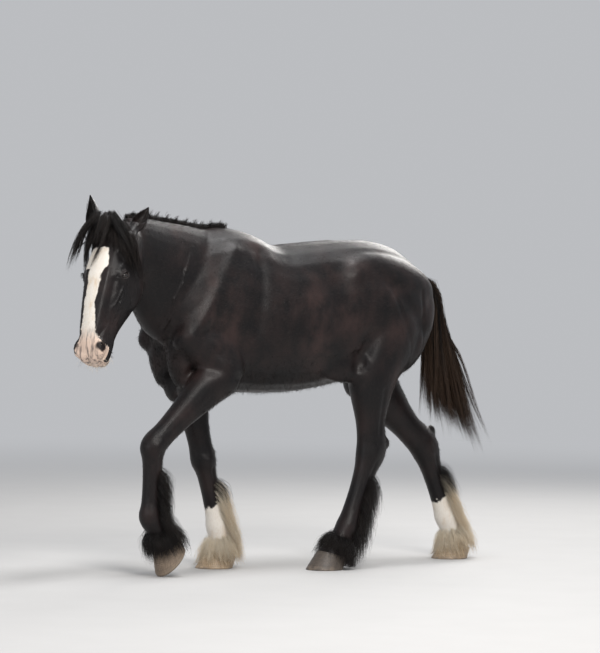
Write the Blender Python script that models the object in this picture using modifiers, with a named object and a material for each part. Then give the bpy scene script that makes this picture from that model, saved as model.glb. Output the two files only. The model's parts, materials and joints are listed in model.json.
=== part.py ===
"""A life-size shire horse, standing mid-stride with its head turned a little to its left.

Metres, +Z up. The horse faces -X, its left side is -Y, and the floor is Z = 0. At the end the whole
model is moved so that the origin is the middle of its box, on the floor.
"""

import math
import random

import bpy
import numpy as np
from mathutils import Matrix, Vector

# Driving sizes of the body
GAP = 0.0003
OBLIQUE = Vector((0.61, 0.37, 0.70)).normalized()
BODY_VOXEL = 0.0095
HEAD_VOXEL = 0.006
BARREL_HALF_WIDTH = 0.290
CROUP_HEIGHT = 1.668
BACK_HEIGHT = 1.632
WITHERS_HEIGHT = 1.712
BELLY_HEIGHT = 0.884
EYE_RADIUS = 0.023

# Hoof, in its own frame: toe towards +X, sole at Z = 0
SOLE_HALF_LENGTH = 0.098
SOLE_HALF_WIDTH = 0.090
CORONET_HALF_LENGTH = 0.078
CORONET_HALF_WIDTH = 0.073
CORONET_SET_BACK = 0.045
CORONET_HEIGHT = 0.074
CORONET_SLOPE = math.radians(17)

# Joints of the four legs, as the stride places them
LEFT_FORE = {
    "elbow": (-0.575, -0.190, 0.985),
    "knee": (-0.937, -0.155, 0.640),
    "fetlock": (-0.940, -0.150, 0.292),
    "sole": (-0.819, -0.150, 0.0700),
    "toe_down": math.radians(48),
}
RIGHT_FORE = {
    "elbow": (-0.520, 0.190, 0.985),
    "knee": (-0.432, 0.160, 0.545),
    "fetlock": (-0.350, 0.150, 0.215),
    "sole": (-0.365, 0.150, 0.0),
    "toe_down": 0.0,
}
LEFT_HIND = {
    "hip": (0.500, -0.130, 1.330),
    "stifle": (0.350, -0.175, 1.000),
    "hock": (0.368, -0.170, 0.600),
    "fetlock": (0.232, -0.170, 0.220),
    "sole": (0.090, -0.170, 0.0),
    "toe_down": 0.0,
}
RIGHT_HIND = {
    "hip": (0.520, 0.130, 1.330),
    "stifle": (0.580, 0.165, 0.935),
    "hock": (0.935, 0.140, 0.590),
    "fetlock": (1.072, 0.120, 0.222),
    "sole": (1.092, 0.110, 0.0),
    "toe_down": 0.0,
}

LEGS = {
    "fore_left": LEFT_FORE,
    "fore_right": RIGHT_FORE,
    "hind_left": LEFT_HIND,
    "hind_right": RIGHT_HIND,
}

# How the head is carried
POLL = Vector((-1.160, -0.165, 1.752))
HEAD_YAW = math.radians(25)
HEAD_PITCH = math.radians(25)
HEAD_ROLL = math.radians(3)
HEAD_STRETCH = 1.034
LID_HALF_LENGTH = 0.0235
EYE_OPENING_LENGTH = 0.041
EYE_OPENING_HEIGHT = 0.024
MOUTH_SLIT = 0.0025
MOUTH_CORNER = (0.612, -0.104, 0.0)
MOUTH_FRONT = (0.760, -0.062, 0.0)

# Where the nodes part
FORE_CUT_SHARE = 0.42
HIND_CUT = 0.915
SHANK_SHARE = 0.17
NECK_CUT = (-0.650, 0.0, 1.455)
NECK_CUT_NORMAL = (-0.807, 0.0, 0.590)
DOCK_SEAT = (0.775, 0.0, 1.464)
DOCK_DIRECTION = (0.86, 0.0, -0.51)
NECK_CUT_RADIUS = 0.46
HEAD_CUT_RADIUS = 0.40
DOCK_SEAT_RADIUS = 0.062
DOCK_RADIUS = 0.046
EAR_SEAT_RADIUS = 0.049

# Triangles of the flesh before the hair is added
BODY_TRIANGLES = 4180
HEAD_TRIANGLES = 2440

# Hair
LOCK_POINTS = 4
MANE_LOCKS = 30
MANE_ROWS = (8, 46)
MANE_WIDTH = 0.048
MANE_FAR_LENGTH = 0.125
MANE_NEAR_LENGTH = 0.060
FORELOCK_LOCKS = 12
FORELOCK_WIDTH = 0.036
FORELOCK_SEED = 11
FORELOCK_RISE = 0.026
MANE_SEED = 7
EYE_CLEARANCE = 0.066
EAR_ROOM = 0.054
FEATHER_BACK = 6
FEATHER_RING = 10
FEATHER_WIDTH = 0.050
TAIL_LOCKS = 20
TAIL_ROWS = (9, 34)
TAIL_WIDTH = 0.058
TAIL_FALL_X = 0.835
TAIL_FAN = 0.34
TAIL_TIP_LEFT = 0.76
TAIL_TIP_RIGHT = 0.575
HAIR_MARGIN = 0.00005
HOOF_ROOM = 0.0006
HOOF_CLEARANCE = 0.011
FLOOR_CLEARANCE = 0.012

# Colours
BLACK_COAT = (0.012, 0.010, 0.010, 1.0)
WHITE_HAIR = (0.78, 0.70, 0.60, 1.0)
HORN = (0.20, 0.13, 0.08, 1.0)
DARK_EYE = (0.015, 0.008, 0.005, 1.0)


def head_axes():
    """The head's axes: down the face, out of the forehead, and to the horse's left."""
    forward = Vector((-math.cos(HEAD_YAW), -math.sin(HEAD_YAW), 0))
    left = Vector((math.sin(HEAD_YAW), -math.cos(HEAD_YAW), 0))
    down = forward * math.sin(HEAD_PITCH) - Vector((0, 0, math.cos(HEAD_PITCH)))
    out = forward * math.cos(HEAD_PITCH) + Vector((0, 0, math.sin(HEAD_PITCH)))
    roll = Matrix.Rotation(HEAD_ROLL, 3, forward)
    return roll @ down, roll @ out, roll @ left


FACE_DOWN, FACE_OUT, FACE_LEFT = head_axes()


def on_head(along, out, left):
    """A place given down the face from the poll, out of the face, and to the horse's left."""
    return POLL + FACE_DOWN * along * HEAD_STRETCH + FACE_OUT * out + FACE_LEFT * left


HEAD_CUT = on_head(0.18, -0.280, 0)


def smooth_rows(rows, steps):
    """Rows of numbers with more rows between them on smooth curves."""
    rows = np.array(rows, float)
    padded = np.vstack([2 * rows[0] - rows[1], rows, 2 * rows[-1] - rows[-2]])
    result = []
    for index in range(1, len(padded) - 2):
        before, start, end, after = padded[index - 1 : index + 3]
        for step in range(steps):
            t = step / steps
            result.append(
                0.5
                * (
                    2 * start
                    + (end - before) * t
                    + (2 * before - 5 * start + 4 * end - after) * t * t
                    + (3 * start - before - 3 * end + after) * t**3
                )
            )
    result.append(rows[-1])
    return np.array(result)


def mesh_object(name, points, faces):
    mesh = bpy.data.meshes.new(name)
    mesh.from_pydata([tuple(p) for p in points], [], faces)
    mesh.validate()
    obj = bpy.data.objects.new(name, mesh)
    bpy.context.scene.collection.objects.link(obj)
    return obj


def rings_to_object(name, rings):
    """A closed loft through rings that have the same number of points."""
    count = len(rings[0])
    points = [p for ring in rings for p in ring]
    faces = []
    for level in range(len(rings) - 1):
        for k in range(count):
            near = level * count
            far = near + count
            after = (k + 1) % count
            faces.append((near + k, near + after, far + after, far + k))
    faces.append(tuple(reversed(range(count))))
    faces.append(tuple(range(len(points) - count, len(points))))
    obj = mesh_object(name, points, faces)
    face_outwards(obj)
    return obj


def face_outwards(obj):
    """Turns the faces out of a closed mesh if its volume says that they point in."""
    mesh = obj.data
    mesh.calc_loop_triangles()
    points = np.array([v.co for v in mesh.vertices])
    corners = points[np.array([t.vertices for t in mesh.loop_triangles])]
    volume = np.einsum("ij,ij->i", corners[:, 0], np.cross(corners[:, 1], corners[:, 2])).sum()
    if volume < 0:
        mesh.flip_normals()


def loft(name, rows, side, sides=24, steps=4, upper=2.0, lower=2.0):
    """A limb-like loft.

    A row is (x, y, z, above, below, across): the section's centre, and how far it reaches ahead of
    the path, behind it and to each side. The exponents make the two halves squarer or more pinched.
    """
    side = Vector(side).normalized()
    dense = smooth_rows(rows, steps)
    rings = []
    for index, row in enumerate(dense):
        centre = Vector(row[:3])
        start = Vector(dense[max(index - 1, 0)][:3])
        end = Vector(dense[min(index + 1, len(dense) - 1)][:3])
        tangent = (end - start).normalized()
        above = tangent.cross(side).normalized()
        across = above.cross(tangent).normalized()
        ring = []
        for k in range(sides):
            angle = 2 * math.pi * k / sides
            c = math.cos(angle)
            s = math.sin(angle)
            power = 2 / (upper if s > 0 else lower)
            height = (row[3] if s > 0 else row[4]) * math.copysign(abs(s) ** power, s)
            width = row[5] * math.copysign(abs(c) ** power, c)
            ring.append(centre + above * height + across * width)
        rings.append(ring)
    return rings_to_object(name, rings)


def ball(name, centre, radii, axes=None):
    """An ellipsoid. Axes are the directions of its radii, X, Y and Z where none are given."""
    bpy.ops.mesh.primitive_uv_sphere_add(segments=24, ring_count=14, radius=1)
    obj = bpy.context.object
    obj.name = name
    turn = Matrix(axes).transposed().to_4x4() if axes else Matrix.Identity(4)
    obj.data.transform(Matrix.Translation(centre) @ turn @ Matrix.Diagonal((*radii, 1)))
    face_outwards(obj)
    return obj


def stretched_ball(name, start, end, wide, thick, side):
    """An ellipsoid whose long axis runs from start to end, thin along side."""
    start = Vector(start)
    end = Vector(end)
    along = (end - start).normalized()
    across = along.cross(Vector(side)).normalized()
    out = across.cross(along)
    radii = ((end - start).length / 2, wide, thick)
    return ball(name, (start + end) / 2, radii, (along, across, out))


def hoof_frame(leg):
    """The matrix that takes a hoof from its own frame to its place on a leg."""
    turn = Matrix.Rotation(math.pi, 4, "Z") @ Matrix.Rotation(leg["toe_down"], 4, "Y")
    return Matrix.Translation(leg["sole"]) @ turn


def coronet(leg):
    """The middle of the hair line above a hoof."""
    return hoof_frame(leg) @ Vector((-CORONET_SET_BACK, 0, CORONET_HEIGHT))


def coronet_up(leg):
    """The direction that leaves the hoof at the hair line."""
    local = Vector((-math.sin(CORONET_SLOPE), 0, math.cos(CORONET_SLOPE)))
    return (hoof_frame(leg).to_3x3() @ local).normalized()


def leg_rows(joints, profile):
    """Sections of a leg from (joint, share, above, below, across), past the last joint too."""
    rows = []
    for joint, share, above, below, across in profile:
        start = Vector(joints[joint])
        end = Vector(joints[joint + 1])
        rows.append((*start.lerp(end, share), above, below, across))
    return rows


# Sections of a leg: joint, share of the way to the next one, reach ahead, behind and to each side
FORE_PROFILE = (
    (0, 0.15, 0.140, 0.120, 0.060),
    (0, 0.55, 0.150, 0.140, 0.085),
    (1, -0.05, 0.115, 0.118, 0.086),
    (1, 0.12, 0.104, 0.106, 0.080),
    (1, 0.35, 0.090, 0.088, 0.071),
    (1, 0.60, 0.072, 0.070, 0.060),
    (1, 0.82, 0.063, 0.063, 0.056),
    (1, 0.96, 0.067, 0.067, 0.063),
    (2, 0.06, 0.065, 0.069, 0.063),
    (2, 0.20, 0.050, 0.058, 0.050),
    (2, 0.50, 0.046, 0.056, 0.045),
    (2, 0.82, 0.049, 0.059, 0.049),
    (2, 1.00, 0.060, 0.068, 0.060),
    (3, 0.45, 0.053, 0.056, 0.054),
    (3, 0.85, 0.064, 0.062, 0.066),
    (3, 1.15, 0.072, 0.070, 0.074),
)
HIND_PROFILE = (
    (0, -0.30, 0.200, 0.200, 0.110),
    (0, 0.15, 0.215, 0.225, 0.140),
    (0, 0.55, 0.180, 0.215, 0.135),
    (0, 0.90, 0.140, 0.185, 0.115),
    (1, 0.15, 0.120, 0.155, 0.102),
    (1, 0.40, 0.100, 0.112, 0.086),
    (1, 0.65, 0.080, 0.083, 0.069),
    (1, 0.86, 0.076, 0.084, 0.064),
    (1, 0.98, 0.080, 0.090, 0.067),
    (2, 0.10, 0.073, 0.086, 0.065),
    (2, 0.28, 0.056, 0.068, 0.054),
    (2, 0.55, 0.050, 0.060, 0.048),
    (2, 0.85, 0.053, 0.062, 0.052),
    (2, 1.00, 0.062, 0.070, 0.062),
    (3, 0.45, 0.054, 0.058, 0.056),
    (3, 0.85, 0.065, 0.064, 0.067),
    (3, 1.15, 0.073, 0.071, 0.075),
)

# The trunk's sections: x, top, bottom, share of the barrel's width
TRUNK = (
    (0.805, 1.400, 1.230, 0.26),
    (0.775, 1.468, 1.150, 0.48),
    (0.700, 1.546, 1.050, 0.72),
    (0.580, 1.616, 0.985, 0.89),
    (0.440, 1.660, 0.965, 0.98),
    (0.300, CROUP_HEIGHT, 0.955, 0.99),
    (0.140, 1.657, 0.917, 0.96),
    (-0.020, 1.642, 0.890, 0.98),
    (-0.160, BACK_HEIGHT, BELLY_HEIGHT, 1.00),
    (-0.280, 1.656, 0.882, 0.97),
    (-0.400, 1.704, 0.882, 0.91),
    (-0.510, WITHERS_HEIGHT, 0.882, 0.86),
    (-0.630, 1.650, 0.895, 0.80),
    (-0.725, 1.500, 0.930, 0.70),
    (-0.785, 1.330, 1.000, 0.50),
    (-0.815, 1.230, 1.080, 0.26),
)

# The neck's sections: centre, reach to the crest, reach to the throat side, half width
NECK = (
    (-0.400, 0.000, 1.310, 0.370, 0.300, 0.190),
    (-0.560, -0.010, 1.352, 0.370, 0.325, 0.190),
    (-0.700, -0.025, 1.420, 0.325, 0.312, 0.168),
    (-0.820, -0.055, 1.490, 0.265, 0.276, 0.145),
    (-0.935, -0.090, 1.550, 0.208, 0.226, 0.124),
    (-1.040, -0.125, 1.594, 0.166, 0.176, 0.108),
    (-1.130, -0.152, 1.615, 0.135, 0.120, 0.092),
)

# The head's sections: down the face, front, back, half width
HEAD = (
    (0.010, -0.020, -0.110, 0.058),
    (0.060, 0.028, -0.165, 0.096),
    (0.130, 0.058, -0.205, 0.110),
    (0.210, 0.076, -0.230, 0.117),
    (0.290, 0.080, -0.240, 0.119),
    (0.370, 0.082, -0.230, 0.112),
    (0.440, 0.077, -0.202, 0.099),
    (0.510, 0.066, -0.172, 0.087),
    (0.575, 0.050, -0.152, 0.080),
    (0.630, 0.032, -0.144, 0.080),
    (0.675, 0.010, -0.140, 0.079),
    (0.708, -0.016, -0.126, 0.069),
    (0.728, -0.046, -0.098, 0.040),
)
EYE_PLACE = (0.303, -0.012, 0.101)
NOSTRIL_PLACE = (0.664, -0.016, 0.060)

# The dock's sections: centre, reach above, below and to each side
DOCK = (
    (0.640, 0.0, 1.480, 0.060, 0.060, 0.060),
    (0.730, 0.0, 1.480, 0.052, 0.054, 0.054),
    (0.792, 0.0, 1.454, 0.044, 0.046, 0.046),
    (0.840, 0.0, 1.392, 0.036, 0.036, 0.038),
    (0.866, 0.0, 1.300, 0.028, 0.030, 0.033),
    (0.884, 0.0, 1.200, 0.025, 0.027, 0.028),
    (0.902, 0.0, 1.110, 0.014, 0.016, 0.016),
)


def fore_joints(leg):
    side = math.copysign(1, leg["knee"][1])
    shoulder = (-0.600, side * 0.120, 1.300)
    return [shoulder, leg["elbow"], leg["knee"], leg["fetlock"], coronet(leg)]


def hind_joints(leg):
    return [leg["hip"], leg["stifle"], leg["hock"], leg["fetlock"], coronet(leg)]


def trunk_rows():
    rows = []
    for x, top, bottom, share in TRUNK:
        middle = bottom + (top - bottom) * 0.52
        rows.append((x, 0, middle, top - middle, middle - bottom, share * BARREL_HALF_WIDTH))
    return rows


def head_rows():
    rows = []
    for along, front, back, width in HEAD:
        middle = (front + back) / 2
        half = (front - back) / 2
        rows.append((*on_head(along, middle, 0), half, half, width))
    return rows


def shoulder_muscles(side):
    """Blade, point of shoulder, upper arm and breast of one side."""
    return [
        stretched_ball(
            "blade", (-0.800, side * 0.150, 1.110), (-0.380, side * 0.110, 1.620), 0.120, 0.105, (0, 1, 0)
        ),
        stretched_ball(
            "upper_arm",
            (-0.785, side * 0.150, 1.180),
            (-0.400, side * 0.165, 1.020),
            0.120,
            0.096,
            (0, 1, 0),
        ),
        ball("breast", (-0.735, side * 0.075, 1.110), (0.068, 0.090, 0.180)),
        ball("neck_root", (-0.760, side * 0.060, 1.250), (0.070, 0.090, 0.130)),
        ball("brisket", (-0.660, side * 0.055, 0.920), (0.068, 0.075, 0.085)),
        ball("girth", (-0.600, side * 0.080, 0.960), (0.170, 0.100, 0.070)),
    ]


def hip_muscles(side):
    """Rump, buttock and the fold of the flank of one side."""
    return [
        stretched_ball(
            "rump", (0.100, side * 0.140, 1.500), (0.780, side * 0.110, 1.380), 0.160, 0.142, (0, 1, 0)
        ),
        stretched_ball(
            "buttock", (0.740, side * 0.105, 1.440), (0.500, side * 0.150, 0.980), 0.130, 0.110, (0, 1, 0)
        ),
        stretched_ball(
            "flank", (0.020, side * 0.170, 1.030), (0.360, side * 0.180, 1.020), 0.090, 0.050, (0, 1, 0)
        ),
    ]


def leg_bones(leg, hind):
    """The knobs that show under the skin of one leg."""
    start = Vector(leg["hock" if hind else "knee"])
    down = (Vector(leg["fetlock"]) - start).normalized()
    back = Vector((-down.z, 0, down.x)).normalized()
    if hind:
        stifle = Vector(leg["stifle"])
        point = start - down * 0.058 + back * 0.074
        tendon = start.lerp(stifle, 0.40) + back * 0.062
        return [
            ball("hock_point", point, (0.030, 0.027, 0.036)),
            stretched_ball("tendon", point + down * 0.05, tendon, 0.030, 0.024, (0, 1, 0)),
            ball("patella", stifle + Vector((-0.080, 0, -0.01)), (0.050, 0.075, 0.080)),
        ]
    return [ball("pisiform", start + back * 0.050 - down * 0.02, (0.030, 0.028, 0.040))]


def skull_pieces(side):
    """Cheek, brow, nostril rim and lips of one side of the head."""
    eye = EYE_PLACE
    nostril = NOSTRIL_PLACE
    axes = (FACE_DOWN, FACE_OUT, FACE_LEFT)
    return [
        ball("cheek", on_head(0.310, -0.125, side * 0.064), (0.135, 0.100, 0.052), axes),
        ball("temple", on_head(0.150, -0.030, side * 0.084), (0.070, 0.055, 0.032), axes),
        stretched_ball(
            "cheek_bone",
            on_head(0.220, -0.050, side * 0.098),
            on_head(0.470, 0.010, side * 0.073),
            0.022,
            0.022,
            FACE_LEFT,
        ),
        stretched_ball(
            "brow",
            on_head(eye[0] - 0.068, eye[1] - 0.004, side * eye[2]),
            on_head(eye[0] + 0.008, eye[1] + 0.044, side * (eye[2] - 0.010)),
            0.020,
            0.014,
            FACE_LEFT,
        ),
        ball("orbit", on_head(eye[0], eye[1], side * (eye[2] - 0.004)), (0.048, 0.040, 0.022), axes),
        ball(
            "nostril_rim", on_head(nostril[0], nostril[1], side * nostril[2]), (0.052, 0.036, 0.026), axes
        ),
        ball("upper_lip", on_head(0.698, -0.038, side * 0.028), (0.034, 0.042, 0.036), axes),
        ball("chin", on_head(0.684, -0.116, side * 0.018), (0.038, 0.030, 0.034), axes),
    ]


def join(objects, name):
    """One object that holds every object's mesh."""
    bpy.ops.object.select_all(action="DESELECT")
    for obj in objects:
        obj.select_set(True)
    bpy.context.view_layer.objects.active = objects[0]
    bpy.ops.object.join()
    objects[0].name = name
    objects[0].data.name = name
    return objects[0]


def apply_modifiers(obj):
    bpy.ops.object.select_all(action="DESELECT")
    obj.select_set(True)
    bpy.context.view_layer.objects.active = obj
    for modifier in list(obj.modifiers):
        bpy.ops.object.modifier_apply(modifier=modifier.name)


def fuse(obj, voxel, softness):
    """Turns overlapping closed shapes into one skin, blended over about the softness given."""
    remesh = obj.modifiers.new("skin", "REMESH")
    remesh.mode = "VOXEL"
    remesh.voxel_size = voxel
    smooth = obj.modifiers.new("soften", "SMOOTH")
    smooth.factor = 0.5
    smooth.iterations = max(1, round((softness / voxel) ** 2))
    apply_modifiers(obj)


def thin(obj, triangles):
    """Brings a mesh down to about so many triangles, fewest where it is flat."""
    obj.data.calc_loop_triangles()
    have = len(obj.data.loop_triangles)
    if have > triangles:
        decimate = obj.modifiers.new("thin", "DECIMATE")
        decimate.ratio = triangles / have
        apply_modifiers(obj)


def sculpt(obj, strokes):
    """Raises or sinks a mesh along strokes of (start, end, radius, height)."""
    mesh = obj.data
    count = len(mesh.vertices)
    points = np.empty(count * 3)
    mesh.vertices.foreach_get("co", points)
    points = points.reshape(-1, 3)
    normals = np.empty(count * 3)
    mesh.vertex_normals.foreach_get("vector", normals)
    normals = normals.reshape(-1, 3)
    move = np.zeros(count)
    for start, end, radius, height in strokes:
        start = np.array(start)
        along = np.array(end) - start
        share = np.clip((points - start) @ along / max(along @ along, 1e-9), 0, 1)
        distance = np.linalg.norm(points - start - share[:, None] * along, axis=1)
        move += height * np.exp(-((distance / radius) ** 2))
    points += normals * move[:, None]
    mesh.vertices.foreach_set("co", points.ravel())
    mesh.update()


def relief(side):
    """Muscles and hollows of one side of the body."""
    return [
        ((0.195, side * 0.262, 1.530), (0.215, side * 0.262, 1.500), 0.050, 0.020),
        ((0.075, side * 0.270, 1.450), (0.110, side * 0.290, 1.280), 0.080, -0.016),
        ((-0.340, side * 0.200, 1.600), (-0.400, side * 0.270, 1.180), 0.040, -0.013),
        ((-0.480, side * 0.170, 1.600), (-0.740, side * 0.235, 1.180), 0.035, 0.010),
        ((-0.790, side * 0.190, 1.130), (-0.775, side * 0.200, 1.150), 0.055, 0.016),
        ((-0.660, side * 0.250, 1.020), (-0.470, side * 0.260, 0.965), 0.035, -0.010),
        ((0.330, side * 0.280, 1.520), (0.700, side * 0.210, 1.160), 0.035, -0.010),
        ((0.300, side * 0.290, 1.180), (0.240, side * 0.230, 1.020), 0.035, -0.014),
        ((0.120, side * 0.230, 1.030), (0.230, side * 0.200, 0.990), 0.030, 0.010),
    ]


def middle_relief():
    """Grooves down the middle of the breast, croup and buttocks."""
    return [
        ((-0.840, 0.0, 1.240), (-0.800, 0.0, 0.960), 0.030, -0.018),
        ((0.250, 0.0, 1.680), (0.760, 0.0, 1.500), 0.030, -0.010),
        ((0.810, 0.0, 1.360), (0.640, 0.0, 1.020), 0.040, -0.035),
    ]


def head_shapes():
    pieces = [loft("skull", head_rows(), FACE_LEFT, upper=2.3, lower=2.1)]
    for side in (-1, 1):
        pieces += skull_pieces(side)
    return pieces


def neck_shape():
    return loft("neck", NECK, (0, -1, 0), upper=1.75, lower=2.0)


def body_shapes():
    pieces = [loft("trunk", trunk_rows(), (0, -1, 0), upper=1.95, lower=2.15), neck_shape()]
    pieces.append(loft("dock", DOCK, (0, -1, 0), sides=16))
    for leg in (LEFT_FORE, RIGHT_FORE):
        pieces.append(loft("fore_leg", leg_rows(fore_joints(leg), FORE_PROFILE), (0, -1, 0), steps=3))
        pieces += leg_bones(leg, False)
    for leg in (LEFT_HIND, RIGHT_HIND):
        pieces.append(loft("hind_leg", leg_rows(hind_joints(leg), HIND_PROFILE), (0, -1, 0), steps=3))
        pieces += leg_bones(leg, True)
    for side in (-1, 1):
        pieces += shoulder_muscles(side)
        pieces += hip_muscles(side)
    return pieces


def eye_centre(side):
    """The middle of an eyeball, which lies a little inside its lids."""
    along, out, left = EYE_PLACE
    return on_head(along, out, side * left)


def eye_axes(side):
    """The long way of an eye's opening, its height and the way that it looks."""
    look = (FACE_LEFT * side + FACE_OUT * 0.36 + FACE_DOWN * 0.10).normalized()
    long = (FACE_DOWN * 0.80 + FACE_OUT * 0.60).normalized()
    long = (long - look * long.dot(look)).normalized()
    return long, look.cross(long).normalized(), look


def eyelid(side, height, thick):
    """One lid: a tube that arches over the eyeball from corner to corner."""
    long, short, look = eye_axes(side)
    centre = eye_centre(side)
    reach = EYE_RADIUS + 0.003
    rows = []
    for step in range(9):
        angle = math.pi * step / 8
        x = LID_HALF_LENGTH * math.cos(angle)
        y = height * math.sin(angle)
        depth = math.sqrt(max(reach * reach - x * x - y * y, 0))
        rows.append((*(centre + long * x + short * y + look * depth), thick, thick, thick))
    return loft("lid", rows, look, sides=10, steps=2)


def seat(centre, direction, radius, depth):
    """A round cutter that leaves a flat seat square to a direction."""
    bpy.ops.mesh.primitive_cylinder_add(vertices=24, radius=radius, depth=depth)
    obj = bpy.context.object
    direction = Vector(direction).normalized()
    turn = Vector((0, 0, 1)).rotation_difference(direction).to_matrix().to_4x4()
    obj.data.transform(Matrix.Translation(Vector(centre) + direction * depth / 2) @ turn)
    return obj


def boolean(obj, others, operation):
    """Joins or cuts an object with every one of the others, which are then removed."""
    group = bpy.data.collections.new("operands")
    bpy.context.scene.collection.children.link(group)
    for other in others:
        for collection in list(other.users_collection):
            collection.objects.unlink(other)
        group.objects.link(other)
    modifier = obj.modifiers.new("cut", "BOOLEAN")
    modifier.operation = operation
    modifier.operand_type = "COLLECTION"
    modifier.collection = group
    modifier.solver = "MANIFOLD"
    apply_modifiers(obj)
    for other in others:
        bpy.data.objects.remove(other, do_unlink=True)
    bpy.data.collections.remove(group)


def loose_pieces(obj):
    """The closed surfaces of a mesh, each as an object of its own."""
    bpy.ops.object.select_all(action="DESELECT")
    obj.select_set(True)
    bpy.context.view_layer.objects.active = obj
    bpy.ops.mesh.separate(type="LOOSE")
    return list(bpy.context.selected_objects)


def holds(obj, point):
    """Whether a point lies inside a closed mesh, from how often a line out of it meets the mesh."""
    start = Vector(point)
    crossings = 0
    while crossings < 50:
        hit, place, _, _ = obj.ray_cast(start, OBLIQUE)
        if not hit:
            break
        crossings += 1
        start = place + OBLIQUE * 1e-5
    return crossings % 2 == 1


def keep_pieces(obj, seeds):
    """Names the pieces that hold a seed point after it and removes the rest."""
    kept = {}
    for piece in loose_pieces(obj):
        name = next((n for n, point in seeds.items() if n not in kept and holds(piece, point)), None)
        if name is None:
            bpy.data.objects.remove(piece, do_unlink=True)
        else:
            piece.name = name
            piece.data.name = name
            kept[name] = piece
    return kept


def keep_largest(obj):
    """Keeps only the largest closed surface of a mesh."""
    name = obj.name
    pieces = loose_pieces(obj)
    pieces.sort(key=lambda piece: piece.dimensions.length)
    for piece in pieces[:-1]:
        bpy.data.objects.remove(piece, do_unlink=True)
    pieces[-1].name = name
    pieces[-1].data.name = name
    return pieces[-1]


def slab(centre, direction, radius):
    """A disc as thin as the gap between two nodes, on the far side of a plane."""
    return seat(centre, direction, radius, GAP)


def leg_slabs(leg, hind):
    """The cuts at a leg's top, below its knee or hock, and at its hair line."""
    if hind:
        upper, lower = Vector(leg["stifle"]), Vector(leg["hock"])
        top = upper.lerp(lower, (upper.z - HIND_CUT) / (upper.z - lower.z))
        first = slab(top, (0, 0, 1), 0.185)
    else:
        upper, lower = Vector(leg["elbow"]), Vector(leg["knee"])
        first = slab(upper.lerp(lower, FORE_CUT_SHARE), upper - lower, 0.140)
    fetlock = Vector(leg["fetlock"])
    return [
        first,
        slab(lower.lerp(fetlock, SHANK_SHARE), lower - fetlock, 0.115),
        slab(coronet(leg), coronet_up(leg), 0.110),
    ]


def hoof(leg, name, grow=0.0):
    """A hoof: straight walls from a level sole to the sloping hair line, grown all round if asked."""
    sides = 24
    rings = []
    for level, shrink in ((0.0, 0.004), (0.06, 0.0), (1.0, 0.0)):
        ring = []
        for k in range(sides):
            angle = 2 * math.pi * k / sides
            c = math.cos(angle)
            s = math.sin(angle)
            reach = grow - shrink
            sole = Vector(((SOLE_HALF_LENGTH + reach) * c, (SOLE_HALF_WIDTH + reach) * s, 0))
            rise = CORONET_HEIGHT + (CORONET_HALF_LENGTH + grow) * c * math.tan(CORONET_SLOPE)
            top = Vector(
                ((CORONET_HALF_LENGTH + grow) * c - CORONET_SET_BACK, (CORONET_HALF_WIDTH + grow) * s, rise)
            )
            if grow:
                top.z += GAP / 2
            ring.append(hoof_frame(leg) @ sole.lerp(top, level))
        rings.append(ring)
    obj = rings_to_object(name, rings)
    triangulate = obj.modifiers.new("flat faces", "TRIANGULATE")
    triangulate.quad_method = "FIXED"
    apply_modifiers(obj)
    if leg["toe_down"] and not grow:
        boolean(obj, [seat((*leg["sole"][:2], 0), (0, 0, -1), 0.3, 0.1)], "DIFFERENCE")
    return obj


# An ear's sections: share of its length, half width, half opening angle, how deep its cup is
EAR = (
    (0.00, 0.026, 165, 0.05),
    (0.10, 0.037, 150, 0.30),
    (0.24, 0.042, 132, 0.95),
    (0.42, 0.039, 118, 1.00),
    (0.60, 0.031, 108, 1.00),
    (0.77, 0.021, 102, 1.00),
    (0.91, 0.011, 96, 1.00),
    (1.00, 0.003, 92, 1.00),
)
EAR_WALL = 0.0045
EAR_BOW = 0.008
# The ear's root: how far along the ear, and its radius
EAR_ROOT = ((-0.075, 0.042), (-0.045, 0.037), (-0.020, 0.031), (0.000, 0.028), (0.030, 0.028))
EARS = {
    "ear_right": {
        "base": (0.050, 0.006, -0.124),
        "tip": (-0.106, 0.036, -0.166),
        "faces": (0.10, 0.97, -0.22),
    },
    "ear_left": {
        "base": (0.055, -0.024, 0.094),
        "tip": (-0.090, -0.092, 0.102),
        "faces": (0.10, 0.90, 0.40),
    },
}


def ear_places(name):
    """An ear's base, tip and the direction that its cup faces, in the world."""
    ear = EARS[name]
    base = on_head(*ear["base"])
    tip = on_head(*ear["tip"])
    along, out, left = ear["faces"]
    faces = FACE_DOWN * along + FACE_OUT * out + FACE_LEFT * left
    axis = (tip - base).normalized()
    faces = (faces - axis * faces.dot(axis)).normalized()
    return base, tip, faces


def ear(name):
    """A cupped ear: crescent sections, nearly closed at the base and flat at the tip."""
    base, tip, faces = ear_places(name)
    axis = (tip - base).normalized()
    side = axis.cross(faces)
    points_a_side = 8
    rings = []
    for share, width, opening, cup in EAR:
        centre = base.lerp(tip, share) + axis * GAP - faces * EAR_BOW * math.sin(math.pi * share)
        half = math.radians(opening)
        outer = []
        inner = []
        for k in range(points_a_side):
            angle = half * (2 * k / (points_a_side - 1) - 1)
            arm = side * math.sin(angle) - faces * math.cos(angle)
            wall = min(EAR_WALL, width * 0.55)
            chord = side * math.sin(half) * (2 * k / (points_a_side - 1) - 1) - faces * math.cos(half)
            outer.append(centre + arm * width)
            inner.append(centre + (chord * (width - wall)).lerp(arm * (width - wall), cup))
        rings.append(outer + inner[::-1])
    return rings_to_object(name, rings)


def ear_root(name):
    """The muscle that carries an ear and narrows up to its base."""
    base, tip, _ = ear_places(name)
    axis = (tip - base).normalized()
    rows = []
    for reach, radius in EAR_ROOT:
        rows.append((*(base + axis * reach), radius, radius, radius))
    return loft("ear_root", rows, FACE_OUT, sides=20, steps=2)


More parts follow.
